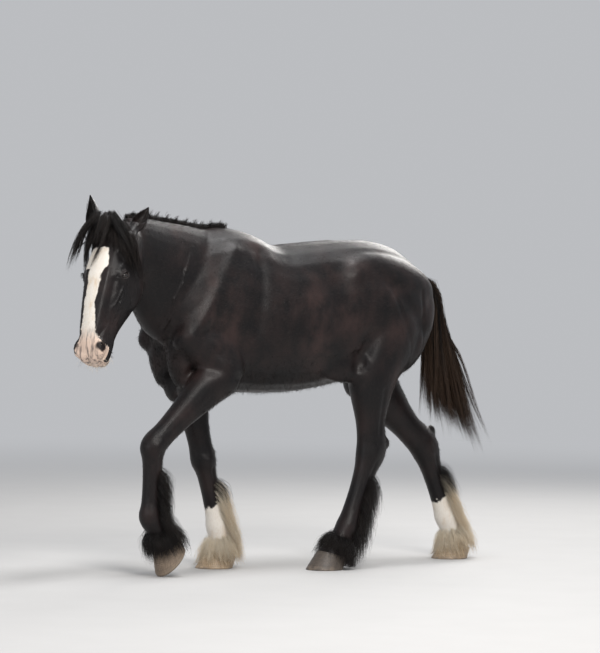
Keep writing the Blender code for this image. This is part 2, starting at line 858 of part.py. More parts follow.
def eyeball(side, name, grow=0.0):
    """An eyeball, or a cutter that leaves so much room round it."""
    bpy.ops.mesh.primitive_uv_sphere_add(segments=16, ring_count=8, radius=EYE_RADIUS + grow)
    obj = bpy.context.object
    obj.name = name
    obj.data.name = name
    obj.data.transform(Matrix.Translation(eye_centre(side)))
    return obj


def nostril_cutter(side):
    """The comma-shaped hollow of a nostril."""
    along, out, left = NOSTRIL_PLACE
    slant = Matrix.Rotation(math.radians(20) * side, 3, FACE_LEFT)
    axes = (slant @ FACE_DOWN, slant @ FACE_OUT, FACE_LEFT)
    middle = on_head(along + 0.004, out + 0.010, side * (left + 0.026))
    return ball("nostril", middle, (0.034, 0.012, 0.024), axes)


def eye_opening(side):
    """The almond between the lids, in front of the eyeball."""
    long, short, look = eye_axes(side)
    size = (EYE_OPENING_LENGTH / 2, EYE_OPENING_HEIGHT / 2, 0.022)
    return ball("opening", eye_centre(side) + look * (EYE_RADIUS + 0.003), size, (long, short, look))


def mouth_cutter():
    """The thin slit between the lips, from one corner of the mouth to the other."""
    corner = on_head(*MOUTH_CORNER)
    front = on_head(*MOUTH_FRONT)
    along = (front - corner).normalized()
    out = FACE_LEFT.cross(along)
    bpy.ops.mesh.primitive_cube_add(size=1)
    obj = bpy.context.object
    size = Matrix.Diagonal(((front - corner).length, 0.3, MOUTH_SLIT, 1))
    turn = Matrix((along, FACE_LEFT, out)).transposed().to_4x4()
    obj.data.transform(Matrix.Translation((corner + front) / 2) @ turn @ size)
    return obj


def make_head():
    """The head node: skull with lids, nostrils, lips, and seats for the eyes and ears."""
    head = join(head_shapes() + [neck_shape()], "head")
    fuse(head, HEAD_VOXEL, 0.020)
    details = [head]
    for side in (-1, 1):
        details.append(eyelid(side, 0.0155, 0.0055))
        details.append(eyelid(side, -0.0150, 0.0050))
    for name in EARS:
        details.append(ear_root(name))
    head = join(details, "head")
    fuse(head, HEAD_VOXEL * 0.8, 0.006)
    thin(head, HEAD_TRIANGLES)
    cutters = [slab(HEAD_CUT, FACE_OUT, HEAD_CUT_RADIUS), mouth_cutter()]
    for side in (-1, 1):
        cutters.append(nostril_cutter(side))
        cutters.append(eye_opening(side))
        cutters.append(eyeball(side, "socket", GAP))
    for name in EARS:
        base, tip, _ = ear_places(name)
        cutters.append(seat(base, tip - base, EAR_SEAT_RADIUS, 0.07))
    boolean(head, cutters, "DIFFERENCE")
    return keep_pieces(head, {"head": on_head(0.40, -0.10, 0)})["head"]


def make_body():
    """Torso, neck and the flesh of the legs, parted by thin cuts."""
    body = join(body_shapes() + head_shapes(), "body")
    fuse(body, BODY_VOXEL, 0.036)
    sculpt(body, relief(-1) + relief(1) + middle_relief())
    thin(body, BODY_TRIANGLES)
    cutters = [
        slab(NECK_CUT, NECK_CUT_NORMAL, NECK_CUT_RADIUS),
        slab(HEAD_CUT, FACE_OUT, HEAD_CUT_RADIUS),
        seat(DOCK_SEAT, DOCK_DIRECTION, DOCK_SEAT_RADIUS, 0.40),
    ]
    seeds = {"torso": (-0.1, 0, 1.3), "neck": NECK[4][:3]}
    for name, leg in LEGS.items():
        hind = name.startswith("hind")
        cutters += leg_slabs(leg, hind)
        upper, lower = ("stifle", "hock") if hind else ("elbow", "knee")
        seeds[name + "_upper"] = Vector(leg[upper]).lerp(Vector(leg[lower]), 0.7)
        seeds[name + "_shank"] = Vector(leg[lower]).lerp(Vector(leg["fetlock"]), 0.5)
    boolean(body, cutters, "DIFFERENCE")
    return keep_pieces(body, seeds)


def lock(points, width, thick, facings):
    """A flat lock of hair along a path, with the way that it faces at each point of it.

    It is three-sided, with its ridge outwards, widest near its root and pointed at its tip.
    """
    count = len(points) - 1
    verts = []
    faces = []
    for index in range(count):
        share = index / count
        start = points[max(index - 1, 0)]
        tangent = (points[index + 1] - start).normalized()
        across = tangent.cross(facings[index]).normalized()
        out = across.cross(tangent).normalized()
        taper = min(1.0, 0.70 + 1.5 * share) * (1 - share) ** 0.55
        wide = across * width / 2 * taper
        deep = out * thick * max(taper, 0.5)
        centre = points[index]
        verts += [centre + wide - deep * 0.3, centre + deep * 0.7, centre - wide - deep * 0.3]
        if index:
            for k in range(3):
                near = (index - 1) * 3
                after = (k + 1) % 3
                faces.append((near + k, near + after, near + 3 + after))
                faces.append((near + k, near + 3 + after, near + 3 + k))
    verts.append(points[-1])
    last = (count - 1) * 3
    faces += [(last + k, last + (k + 1) % 3, count * 3) for k in range(3)]
    faces.append((2, 1, 0))
    obj = mesh_object("lock", verts, faces)
    face_outwards(obj)
    return obj


def curve_points(controls, count):
    """So many points at even shares of a smooth path through a few control points."""
    rows = smooth_rows([tuple(c) for c in controls], 8)
    places = np.linspace(0, len(rows) - 1, count)
    return [Vector([np.interp(p, range(len(rows)), rows[:, axis]) for axis in range(3)]) for p in places]


def clear_of(obj, point, distance):
    """A point moved out of a mesh until it lies so far above its surface."""
    _, place, normal, _ = obj.closest_point_on_mesh(point)
    height = (point - place).dot(normal)
    if height < distance:
        return place + normal * distance
    return point


def clear_of_hoof(leg, point):
    """A point moved sideways out of a hoof's wall, and kept above the floor."""
    frame = hoof_frame(leg)
    local = frame.inverted() @ point
    rise = min(max(local.z / CORONET_HEIGHT, 0.0), 1.0)
    back = CORONET_SET_BACK * rise
    long = SOLE_HALF_LENGTH + (CORONET_HALF_LENGTH - SOLE_HALF_LENGTH) * rise + HOOF_CLEARANCE
    wide = SOLE_HALF_WIDTH + (CORONET_HALF_WIDTH - SOLE_HALF_WIDTH) * rise + HOOF_CLEARANCE
    reach = math.hypot((local.x + back) / long, local.y / wide)
    if local.z < CORONET_HEIGHT * 1.3 and 0 < reach < 1:
        local.x = (local.x + back) / reach - back
        local.y /= reach
        point = frame @ local
    point.z = max(point.z, FLOOR_CLEARANCE)
    return point


def feather_paths(leg, shank, hind, back_count, ring_count, seed):
    """Paths of the long hair of a lower leg: down the back of it, and all round the hair line.

    Each path is its control points and the way that it faces.
    """
    rng = random.Random(seed)
    top = Vector(leg["hock" if hind else "knee"])
    fetlock = Vector(leg["fetlock"])
    foot = coronet(leg)
    tufts = []
    for k in range(back_count):
        share = 0.30 + 0.80 * (k + 0.5) / back_count
        angle = math.radians(66) * (2 * ((k * 0.618034) % 1) - 1)
        tufts.append((share, angle, 0.120 + 0.020 * share + 0.030 * rng.random()))
    for k in range(ring_count):
        angle = 2 * math.pi * (k + 0.5) / ring_count
        behind = 0.5 + 0.5 * math.cos(angle)
        share = 1.38 + 0.26 * ((k * 0.381966) % 1)
        tufts.append((share, angle, 0.088 + 0.046 * behind + 0.012 * rng.random()))
    paths = []
    for share, angle, length in tufts:
        if share <= 1:
            start, end, part = top, fetlock, share
        else:
            start, end, part = fetlock, foot, share - 1
        down = (end - start).normalized()
        back = Vector((-down.z, 0, down.x)).normalized()
        side = down.cross(back)
        out = back * math.cos(angle) + side * math.sin(angle)
        axis_point = start.lerp(end, part)
        hit, place, _, _ = shank.ray_cast(axis_point, out)
        if not hit:
            place = axis_point + out * 0.05
        behind = 0.5 + 0.5 * math.cos(angle)
        flow = (down + Vector((0, 0, -0.8)) + out * (0.10 + 0.24 * behind)).normalized()
        controls = [place - out * 0.014]
        for step in (0.25, 0.6, 1.0):
            lift = 0.008 + 0.030 * step * (1 - 0.35 * step)
            point = place + out * lift + flow * length * step + side * rng.uniform(-0.010, 0.010) * step
            point = clear_of(shank, point, 0.004 + 0.004 * step)
            controls.append(clear_of_hoof(leg, point))
        paths.append((controls, out))
    return paths


def feather(leg, shank, hind, seed):
    """The locks of a lower leg."""
    middle = hoof_frame(leg) @ Vector((-CORONET_SET_BACK / 2, 0, 0))
    locks = []
    for controls, out in feather_paths(leg, shank, hind, FEATHER_BACK, FEATHER_RING, seed):
        points = curve_points(controls, LOCK_POINTS)
        points[2:] = [clear_of_hoof(leg, p) for p in points[2:]]
        facings = [out, out] + [Vector((p.x - middle.x, p.y - middle.y, 0)) for p in points[2:]]
        if leg["toe_down"]:
            facings = [out] * len(points)
        locks.append(lock(points, FEATHER_WIDTH, 0.014, facings))
    return locks


def mane_paths(node, count):
    """Paths of the mane: most of it falls to the far side, and short hair stands at the near side.

    Each path is its control points and the way that it faces.
    """
    rng = random.Random(MANE_SEED)
    crest = smooth_rows(NECK, 8)
    paths = []
    for k in range(count):
        at = np.interp(k / (count - 1), (0, 1), MANE_ROWS)
        index = int(at)
        after = crest[min(index + 1, len(crest) - 1)]
        along = Vector(after[:3] - crest[index - 1][:3]).normalized()
        above = along.cross(Vector((0, -1, 0))).normalized()
        row = crest[index] + (after - crest[index]) * (at - index)
        hit, place, normal, _ = node.ray_cast(Vector(row[:3]), above)
        far = k % 3 != 0
        fade = math.sin(math.pi * (0.12 + 0.76 * k / (count - 1))) ** 0.5
        length = (MANE_FAR_LENGTH if far else MANE_NEAR_LENGTH) * rng.uniform(0.8, 1.15) * fade
        if not hit:
            continue
        side = Vector((0, 1 if far else -1, 0))
        root = place + Vector((0, 0.006 + 0.012 * rng.random(), 0))
        if not far:
            controls = [
                root - normal * 0.016,
                root + normal * length * 0.40,
                root + normal * length * 0.75 + side * length * 0.10 - along * length * 0.10,
                root + normal * length * 0.95 + side * length * 0.32 - along * length * 0.25,
            ]
        else:
            controls = [root - normal * 0.016, root + normal * 0.016 + side * 0.004]
            for step in (0.35, 0.7, 1.0):
                point = root + side * length * step * 0.62 - normal * length * step * step * 0.62
                point -= along * length * step * 0.16
                controls.append(clear_of(node, point, 0.010 - 0.003 * step))
        paths.append((controls, (side + normal * 0.6).normalized()))
    return paths


def mane(node):
    """The locks of the mane that grow on the neck or the head."""
    locks = []
    for controls, faces in mane_paths(node, MANE_LOCKS):
        points = curve_points(controls, LOCK_POINTS)
        locks.append(lock(points, MANE_WIDTH, 0.012, [faces] * LOCK_POINTS))
    return locks


def forelock_paths(head, count):
    """Paths of the forelock, which parts between the ears and falls over the brow and both temples."""
    rng = random.Random(FORELOCK_SEED)
    paths = []
    for k in range(count):
        across = 2 * (k + 0.5) / count - 1
        wide = abs(across)
        length = 0.105 + 0.185 * wide**0.8 + 0.03 * rng.random()
        stray = 0.022 * wide if across < 0 else 0.0
        controls = []
        for step in (0.0, 0.12, 0.4, 0.7, 1.0):
            spread = across * (0.050 + 0.094 * math.sin(step * 1.35))
            point = on_head(0.022 + length * step, 0.09 - 0.05 * wide - 0.15 * wide * wide * step, spread)
            eye = eye_centre(math.copysign(1, across))
            if (point - eye).length < EYE_CLEARANCE:
                point = eye + (point - eye - FACE_OUT * 0.02).normalized() * EYE_CLEARANCE
            _, place, normal, _ = head.closest_point_on_mesh(point)
            lift = 0.004 + 0.014 * math.sin(math.pi * min(step, 0.8)) + stray * step + 0.003 * (k % 3)
            lift += FORELOCK_RISE * math.exp(-((step - 0.12) / 0.20) ** 2)
            if step == 0:
                lift = -0.012 - 0.001 * (k % 3)
            controls.append(place + normal * lift)
        paths.append((controls, FACE_OUT))
    return paths


def forelock(head):
    """The locks of the forelock."""
    locks = []
    for controls, _ in forelock_paths(head, FORELOCK_LOCKS):
        points = curve_points(controls, LOCK_POINTS + 1)
        facings = [head.closest_point_on_mesh(p)[2] for p in points]
        locks.append(lock(points, FORELOCK_WIDTH, 0.011, facings))
    return locks


def dock():
    """The core of the tail, from its seat on the croup down into the thick of the hair."""
    sides = 12
    rows = [row for row in DOCK if row[0] > DOCK_SEAT[0] + 0.01]
    direction = Vector(DOCK_DIRECTION).normalized()
    start = Vector(DOCK_SEAT) + direction * GAP
    side = Vector((0, -1, 0))
    first = (*start, DOCK_RADIUS, DOCK_RADIUS, DOCK_RADIUS)
    obj = loft("tail", [first] + rows, side, sides=sides, steps=2)
    above = direction.cross(side).normalized()
    for k in range(sides):
        angle = 2 * math.pi * k / sides
        spoke = above * math.sin(angle) + side * math.cos(angle)
        obj.data.vertices[k].co = start + spoke * DOCK_RADIUS
    return obj


def tail_paths(count, seed):
    """Paths of the tail's hair, from all round the dock down to a fan of tips behind the stride.

    Each path is its control points and the way that it faces.
    """
    rng = random.Random(seed)
    core = smooth_rows(DOCK, 6)
    paths = []
    for k in range(count):
        level = (k + 0.5) / count
        fan = (k * 0.618034) % 1
        turn = (k * 0.381966 * 2.7) % 1
        row = core[int(np.interp(level, (0, 1), TAIL_ROWS))]
        centre = Vector(row[:3])
        angle = math.radians(-100 + 200 * fan)
        out = Vector((math.sin(angle) * 0.85 + 0.15, (turn - 0.5) * 1.9, 0.05)).normalized()
        root = centre + out * row[4] * 0.9
        depth = (turn - 0.5) * 2
        end = Vector((
            TAIL_FALL_X + TAIL_FAN * fan + rng.uniform(-0.02, 0.02),
            -0.02 - 0.05 * fan + 0.090 * depth,
            TAIL_TIP_LEFT + (TAIL_TIP_RIGHT - TAIL_TIP_LEFT) * fan + rng.uniform(-0.03, 0.05),
        ))
        middle = Vector((
            TAIL_FALL_X + 0.012 + TAIL_FAN * 0.44 * fan,
            -0.01 - 0.02 * fan + 0.075 * depth,
            1.02 + 0.02 * rng.random(),
        ))
        shoulder = Vector((
            max(root.x + out.x * 0.018, TAIL_FALL_X + 0.02),
            root.y + out.y * 0.022,
            root.z - 0.05,
        ))
        upper = shoulder.lerp(middle, 0.5)
        lower = middle.lerp(end, 0.55) + Vector((-0.012 * fan, 0, 0))
        controls = [centre.lerp(root, 0.35), shoulder, upper, middle, lower, end]
        paths.append((controls, out))
    return paths


def tail_locks():
    """The locks of the tail."""
    rng = random.Random(3)
    locks = []
    for controls, out in tail_paths(TAIL_LOCKS, 21):
        points = curve_points(controls, LOCK_POINTS + 2)
        width = TAIL_WIDTH * rng.uniform(0.9, 1.1)
        locks.append(lock(points, width, 0.018, [out] * len(points)))
    return locks


def past_plane(centre, direction):
    """A wide cutter for all that lies past a plane."""
    return seat(centre, direction, 0.5, 0.2)


def finish_hair(node, locks, trims=()):
    """Joins the locks to their node, and cuts off what would reach into its neighbours."""
    boolean(node, locks, "UNION")
    if trims:
        boolean(node, list(trims), "DIFFERENCE")
    return keep_largest(node)


def stand_on_origin(objects):
    """Moves every mesh so that the origin is the middle of the whole box, on the floor."""
    corners = np.array([v.co for obj in objects for v in obj.data.vertices])
    middle = (corners.min(0) + corners.max(0)) / 2
    for obj in objects:
        obj.data.transform(Matrix.Translation((-middle[0], -middle[1], 0)))


def clear_scene():
    for obj in list(bpy.data.objects):
        bpy.data.objects.remove(obj, do_unlink=True)


def colour_nodes(objects):
    """Gives each node its own plain material."""
    for obj in objects:
        material = bpy.data.materials.new(obj.name)
        material.use_nodes = True
        shader = material.node_tree.nodes["Principled BSDF"]
        white = obj.name in ("fore_right_shank", "hind_right_shank")
        colour = WHITE_HAIR if white else BLACK_COAT
        if obj.name.endswith("_hoof"):
            colour = HORN
        if obj.name.startswith("eye"):
            colour = DARK_EYE
        shader.inputs["Base Color"].default_value = colour
        shader.inputs["Roughness"].default_value = 0.1 if obj.name.startswith("eye") else 0.45
        shader.inputs["Metallic"].default_value = 0.0
        obj.data.materials.clear()
        obj.data.materials.append(material)


def main():
    clear_scene()
    nodes = make_body()
    head = make_head()
    trims = [past_plane(HEAD_CUT + FACE_OUT * (GAP - HAIR_MARGIN), -FACE_OUT)]
    for name in EARS:
        base, tip, _ = ear_places(name)
        axis = (tip - base).normalized()
        trims.append(seat(base + axis * HAIR_MARGIN, axis, EAR_ROOM, 0.19))
    trims += [eyeball(side, "eye_room", GAP - HAIR_MARGIN) for side in (-1, 1)]
    nodes["head"] = finish_hair(head, forelock(head) + mane(head), trims)
    up_neck = Vector(NECK_CUT_NORMAL).normalized()
    trims = [
        past_plane(HEAD_CUT + FACE_OUT * HAIR_MARGIN, FACE_OUT),
        past_plane(Vector(NECK_CUT) + up_neck * (GAP - HAIR_MARGIN), -up_neck),
    ]
    nodes["neck"] = finish_hair(nodes["neck"], mane(nodes["neck"]), trims)
    tail = dock()
    away = Vector(DOCK_DIRECTION).normalized()
    trims = [past_plane(Vector(DOCK_SEAT) + away * HAIR_MARGIN, -away)]
    nodes["tail"] = finish_hair(tail, tail_locks(), trims)
    for index, (name, leg) in enumerate(LEGS.items()):
        shank = nodes[name + "_shank"]
        hind = name.startswith("hind")
        trims = [hoof(leg, "hoof_room", HOOF_ROOM)]
        nodes[name + "_shank"] = finish_hair(shank, feather(leg, shank, hind, 30 + index), trims)
        nodes[name + "_hoof"] = hoof(leg, name + "_hoof")
    for name in EARS:
        nodes[name] = ear(name)
    for name, side in (("eye_left", 1), ("eye_right", -1)):
        nodes[name] = eyeball(side, name)
    objects = list(nodes.values())
    stand_on_origin(objects)
    colour_nodes(objects)
    horse = bpy.data.collections.new("shire_horse")
    bpy.context.scene.collection.children.link(horse)
    for obj in objects:
        for collection in list(obj.users_collection):
            collection.objects.unlink(obj)
        horse.objects.link(obj)


main()
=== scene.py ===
"""The looks of a life-size shire horse: one skin over the parts, long hair, tufts, eyes and hooves.

Metres, +Z up. The horse faces -X and its left side is -Y. The shapes are worked out where the stride was
laid out, and the last step moves every piece by the same shift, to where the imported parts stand.
"""

import json
import math
import random

import bmesh
import bpy
import numpy as np
from mathutils import Matrix, Vector
from mathutils.bvhtree import BVHTree

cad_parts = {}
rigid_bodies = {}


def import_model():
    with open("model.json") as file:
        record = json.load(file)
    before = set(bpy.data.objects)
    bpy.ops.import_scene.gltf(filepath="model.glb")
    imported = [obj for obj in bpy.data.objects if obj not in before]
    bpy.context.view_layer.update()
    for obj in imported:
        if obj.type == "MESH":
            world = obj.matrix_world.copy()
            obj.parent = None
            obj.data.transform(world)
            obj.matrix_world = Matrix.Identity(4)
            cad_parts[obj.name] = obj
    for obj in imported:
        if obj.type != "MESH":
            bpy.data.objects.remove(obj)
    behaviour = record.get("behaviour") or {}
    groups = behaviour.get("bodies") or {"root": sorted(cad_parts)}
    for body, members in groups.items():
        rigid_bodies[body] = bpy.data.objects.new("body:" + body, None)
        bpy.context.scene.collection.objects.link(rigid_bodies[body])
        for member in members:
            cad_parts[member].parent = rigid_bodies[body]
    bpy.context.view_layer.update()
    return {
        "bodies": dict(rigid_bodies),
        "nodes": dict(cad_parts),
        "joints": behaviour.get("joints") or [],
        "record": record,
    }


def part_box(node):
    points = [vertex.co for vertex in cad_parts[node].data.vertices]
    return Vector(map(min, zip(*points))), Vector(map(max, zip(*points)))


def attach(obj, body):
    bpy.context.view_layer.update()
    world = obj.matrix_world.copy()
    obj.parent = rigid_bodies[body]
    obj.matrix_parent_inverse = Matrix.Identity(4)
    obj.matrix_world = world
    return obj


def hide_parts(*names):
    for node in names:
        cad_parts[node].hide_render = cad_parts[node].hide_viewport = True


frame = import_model()

# Where the head starts: along the face, behind it and along the horse
FACE_TOP = -0.05
FACE_BACK = -0.31
FACE_REAR = -1.0
# Finest mesh: the muzzle and round the eyes
FINE_MUZZLE = 0.555
FINE_MUZZLE_BACK = -0.20
FINE_EYE = 0.075
# Skin
SKIN_VOXEL = 0.0075
HEAD_SOFTNESS = 0.020
BODY_SOFTNESS = 0.036
COAT_DEPTH = 0.002
EAR_SEAT_DEPTH = 0.012

# Camera, in the units of a 600 by 653 picture
PICTURE_HEIGHT = 653
VIEW_AZIMUTH = math.radians(35)
VIEW_ROLL = math.radians(0.85)
VIEW_HEIGHT = 1.58
VIEW_DISTANCE = 18.17
FOCAL_PIXELS = 3600
HORIZON_RISE = 71.5
AIM_SHIFT = 6.3
SENSOR = 36.0

# Driving sizes of the body
GAP = 0.0003
BARREL_HALF_WIDTH = 0.290
CROUP_HEIGHT = 1.668
BACK_HEIGHT = 1.632
WITHERS_HEIGHT = 1.712
BELLY_HEIGHT = 0.884
EYE_RADIUS = 0.023
CORNEA_SWELL = 0.035
# Hoof, in its own frame: toe towards +X, sole at Z = 0
SOLE_HALF_LENGTH = 0.098
SOLE_HALF_WIDTH = 0.090
CORONET_HALF_LENGTH = 0.078
CORONET_HALF_WIDTH = 0.073
CORONET_SET_BACK = 0.045
CORONET_HEIGHT = 0.074
CORONET_SLOPE = math.radians(17)
# Joints of the four legs, as the stride places them
LEFT_FORE = {
    "elbow": (-0.575, -0.190, 0.985),
    "knee": (-0.937, -0.155, 0.640),
    "fetlock": (-0.940, -0.150, 0.292),
    "sole": (-0.819, -0.150, 0.0700),
    "toe_down": math.radians(48),
}
RIGHT_FORE = {
    "elbow": (-0.520, 0.190, 0.985),
    "knee": (-0.432, 0.160, 0.545),
    "fetlock": (-0.350, 0.150, 0.215),
    "sole": (-0.365, 0.150, 0.0),
    "toe_down": 0.0,
}
LEFT_HIND = {
    "hip": (0.500, -0.130, 1.330),
    "stifle": (0.350, -0.175, 1.000),
    "hock": (0.368, -0.170, 0.600),
    "fetlock": (0.232, -0.170, 0.220),
    "sole": (0.090, -0.170, 0.0),
    "toe_down": 0.0,
}
RIGHT_HIND = {
    "hip": (0.520, 0.130, 1.330),
    "stifle": (0.580, 0.165, 0.935),
    "hock": (0.935, 0.140, 0.590),
    "fetlock": (1.072, 0.120, 0.222),
    "sole": (1.092, 0.110, 0.0),
    "toe_down": 0.0,
}
LEGS = {
    "fore_left": LEFT_FORE,
    "fore_right": RIGHT_FORE,
    "hind_left": LEFT_HIND,
    "hind_right": RIGHT_HIND,
}
# How the head is carried
POLL = Vector((-1.160, -0.165, 1.752))
HEAD_YAW = math.radians(25)
HEAD_PITCH = math.radians(25)
HEAD_ROLL = math.radians(3)
HEAD_STRETCH = 1.034
LID_HALF_LENGTH = 0.0235
EYE_OPENING_LENGTH = 0.041
EYE_OPENING_HEIGHT = 0.024
EYE_OPENING_DEPTH = 0.022
LID_ROOM = 0.003
MOUTH_SLIT = 0.0025
MOUTH_CUT_WIDTH = 0.3
MOUTH_CORNER = (0.612, -0.104, 0.0)
MOUTH_FRONT = (0.760, -0.062, 0.0)
MANE_ROWS = (8, 46)
MANE_FAR_LENGTH = 0.125
MANE_NEAR_LENGTH = 0.060
FORELOCK_SEED = 11
FORELOCK_RISE = 0.026
MANE_SEED = 7
EYE_CLEARANCE = 0.066
TAIL_ROWS = (9, 34)
TAIL_FALL_X = 0.835
TAIL_FAN = 0.34
TAIL_TIP_LEFT = 0.76
TAIL_TIP_RIGHT = 0.575
HOOF_CLEARANCE = 0.011
FLOOR_CLEARANCE = 0.012
FOOT_HEIGHT = 0.16
# Steps that spread places evenly, whatever their count
GOLDEN = 0.618034
GOLDEN_REST = 0.381966
# Sections of a leg: joint, share of the way to the next one, reach ahead, behind and to each side
FORE_PROFILE = (
    (0, 0.15, 0.140, 0.120, 0.060),
    (0, 0.55, 0.150, 0.140, 0.085),
    (1, -0.05, 0.115, 0.118, 0.086),
    (1, 0.12, 0.104, 0.106, 0.080),
    (1, 0.35, 0.090, 0.088, 0.071),
    (1, 0.60, 0.072, 0.070, 0.060),
    (1, 0.82, 0.063, 0.063, 0.056),
    (1, 0.96, 0.067, 0.067, 0.063),
    (2, 0.06, 0.065, 0.069, 0.063),
    (2, 0.20, 0.050, 0.058, 0.050),
    (2, 0.50, 0.046, 0.056, 0.045),
    (2, 0.82, 0.049, 0.059, 0.049),
    (2, 1.00, 0.060, 0.068, 0.060),
    (3, 0.45, 0.053, 0.056, 0.054),
    (3, 0.85, 0.064, 0.062, 0.066),
    (3, 1.15, 0.072, 0.070, 0.074),
)
HIND_PROFILE = (
    (0, -0.30, 0.200, 0.200, 0.110),
    (0, 0.15, 0.215, 0.225, 0.140),
    (0, 0.55, 0.180, 0.215, 0.135),
    (0, 0.90, 0.140, 0.185, 0.115),
    (1, 0.15, 0.120, 0.155, 0.102),
    (1, 0.40, 0.100, 0.112, 0.086),
    (1, 0.65, 0.080, 0.083, 0.069),
    (1, 0.86, 0.076, 0.084, 0.064),
    (1, 0.98, 0.080, 0.090, 0.067),
    (2, 0.10, 0.073, 0.086, 0.065),
    (2, 0.28, 0.056, 0.068, 0.054),
    (2, 0.55, 0.050, 0.060, 0.048),
    (2, 0.85, 0.053, 0.062, 0.052),
    (2, 1.00, 0.062, 0.070, 0.062),
    (3, 0.45, 0.054, 0.058, 0.056),
    (3, 0.85, 0.065, 0.064, 0.067),
    (3, 1.15, 0.073, 0.071, 0.075),
)
# The trunk's sections: x, top, bottom, share of the barrel's width
TRUNK = (
    (0.805, 1.400, 1.230, 0.26),
    (0.775, 1.468, 1.150, 0.48),
    (0.700, 1.546, 1.050, 0.72),
    (0.580, 1.616, 0.985, 0.89),
    (0.440, 1.660, 0.965, 0.98),
    (0.300, CROUP_HEIGHT, 0.955, 0.99),
    (0.140, 1.657, 0.917, 0.96),
    (-0.020, 1.642, 0.890, 0.98),
    (-0.160, BACK_HEIGHT, BELLY_HEIGHT, 1.00),
    (-0.280, 1.656, 0.882, 0.97),
    (-0.400, 1.704, 0.882, 0.91),
    (-0.510, WITHERS_HEIGHT, 0.882, 0.86),
    (-0.630, 1.650, 0.895, 0.80),
    (-0.725, 1.500, 0.930, 0.70),
    (-0.785, 1.330, 1.000, 0.50),
    (-0.815, 1.230, 1.080, 0.26),
)
# How far up its section the trunk is widest
TRUNK_MIDDLE = 0.52
# The neck's sections: centre, reach to the crest, reach to the throat side, half width
NECK = (
    (-0.400, 0.000, 1.310, 0.370, 0.300, 0.190),
    (-0.560, -0.010, 1.352, 0.370, 0.325, 0.190),
    (-0.700, -0.025, 1.420, 0.325, 0.312, 0.168),
    (-0.820, -0.055, 1.490, 0.265, 0.276, 0.145),
    (-0.935, -0.090, 1.550, 0.208, 0.226, 0.124),
    (-1.040, -0.125, 1.594, 0.166, 0.176, 0.108),
    (-1.130, -0.152, 1.615, 0.135, 0.120, 0.092),
)
# The head's sections: down the face, front, back, half width
HEAD = (
    (0.010, -0.020, -0.110, 0.058),
    (0.060, 0.028, -0.165, 0.096),
    (0.130, 0.058, -0.205, 0.110),
    (0.210, 0.076, -0.230, 0.117),
    (0.290, 0.080, -0.240, 0.119),
    (0.370, 0.082, -0.230, 0.112),
    (0.440, 0.077, -0.202, 0.099),
    (0.510, 0.066, -0.172, 0.087),
    (0.575, 0.050, -0.152, 0.080),
    (0.630, 0.032, -0.144, 0.080),
    (0.675, 0.010, -0.140, 0.079),
    (0.708, -0.016, -0.126, 0.069),
    (0.728, -0.046, -0.098, 0.040),
)
EYE_PLACE = (0.303, -0.012, 0.101)
NOSTRIL_PLACE = (0.664, -0.016, 0.060)
NOSTRIL_SLANT = math.radians(20)
NOSTRIL_SIZE = (0.034, 0.012, 0.024)
# The dock's sections: centre, reach above, below and to each side
DOCK = (
    (0.640, 0.0, 1.480, 0.060, 0.060, 0.060),
    (0.730, 0.0, 1.480, 0.052, 0.054, 0.054),
    (0.792, 0.0, 1.454, 0.044, 0.046, 0.046),
    (0.840, 0.0, 1.392, 0.036, 0.036, 0.038),
    (0.866, 0.0, 1.300, 0.028, 0.030, 0.033),
    (0.884, 0.0, 1.200, 0.025, 0.027, 0.028),
    (0.902, 0.0, 1.110, 0.014, 0.016, 0.016),
)
# An ear's sections: share of its length, half width, half opening angle, how deep its cup is
EAR = (
    (0.00, 0.026, 165, 0.05),
    (0.10, 0.037, 150, 0.30),
    (0.24, 0.042, 132, 0.95),
    (0.42, 0.039, 118, 1.00),
    (0.60, 0.031, 108, 1.00),
    (0.77, 0.021, 102, 1.00),
    (0.91, 0.011, 96, 1.00),
    (1.00, 0.003, 92, 1.00),
)
EAR_WALL = 0.0045
EAR_BOW = 0.008
# The ear's root: how far along the ear, and its radius
EAR_ROOT = ((-0.075, 0.042), (-0.045, 0.037), (-0.020, 0.031), (0.000, 0.028), (0.030, 0.028))
EARS = {
    "ear_right": {
        "base": (0.050, 0.006, -0.124),
        "tip": (-0.106, 0.036, -0.166),
        "faces": (0.10, 0.97, -0.22),
    },
    "ear_left": {
        "base": (0.055, -0.024, 0.094),
        "tip": (-0.090, -0.092, 0.102),
        "faces": (0.10, 0.90, 0.40),
    },
}
# Muscles of the right side. Long ones: start, end, half width, half thickness. Round ones: centre, radii
SHOULDER_LONG = (
    ((-0.800, 0.150, 1.110), (-0.380, 0.110, 1.620), 0.120, 0.105),
    ((-0.785, 0.150, 1.180), (-0.400, 0.165, 1.020), 0.120, 0.096),
)
SHOULDER_ROUND = (
    ((-0.735, 0.075, 1.110), (0.068, 0.090, 0.180)),
    ((-0.760, 0.060, 1.250), (0.070, 0.090, 0.130)),
    ((-0.660, 0.055, 0.920), (0.068, 0.075, 0.085)),
    ((-0.600, 0.080, 0.960), (0.170, 0.100, 0.070)),
)
HIP_LONG = (
    ((0.100, 0.140, 1.500), (0.780, 0.110, 1.380), 0.160, 0.142),
    ((0.740, 0.105, 1.440), (0.500, 0.150, 0.980), 0.130, 0.110),
    ((0.020, 0.170, 1.030), (0.360, 0.180, 1.020), 0.090, 0.050),
)
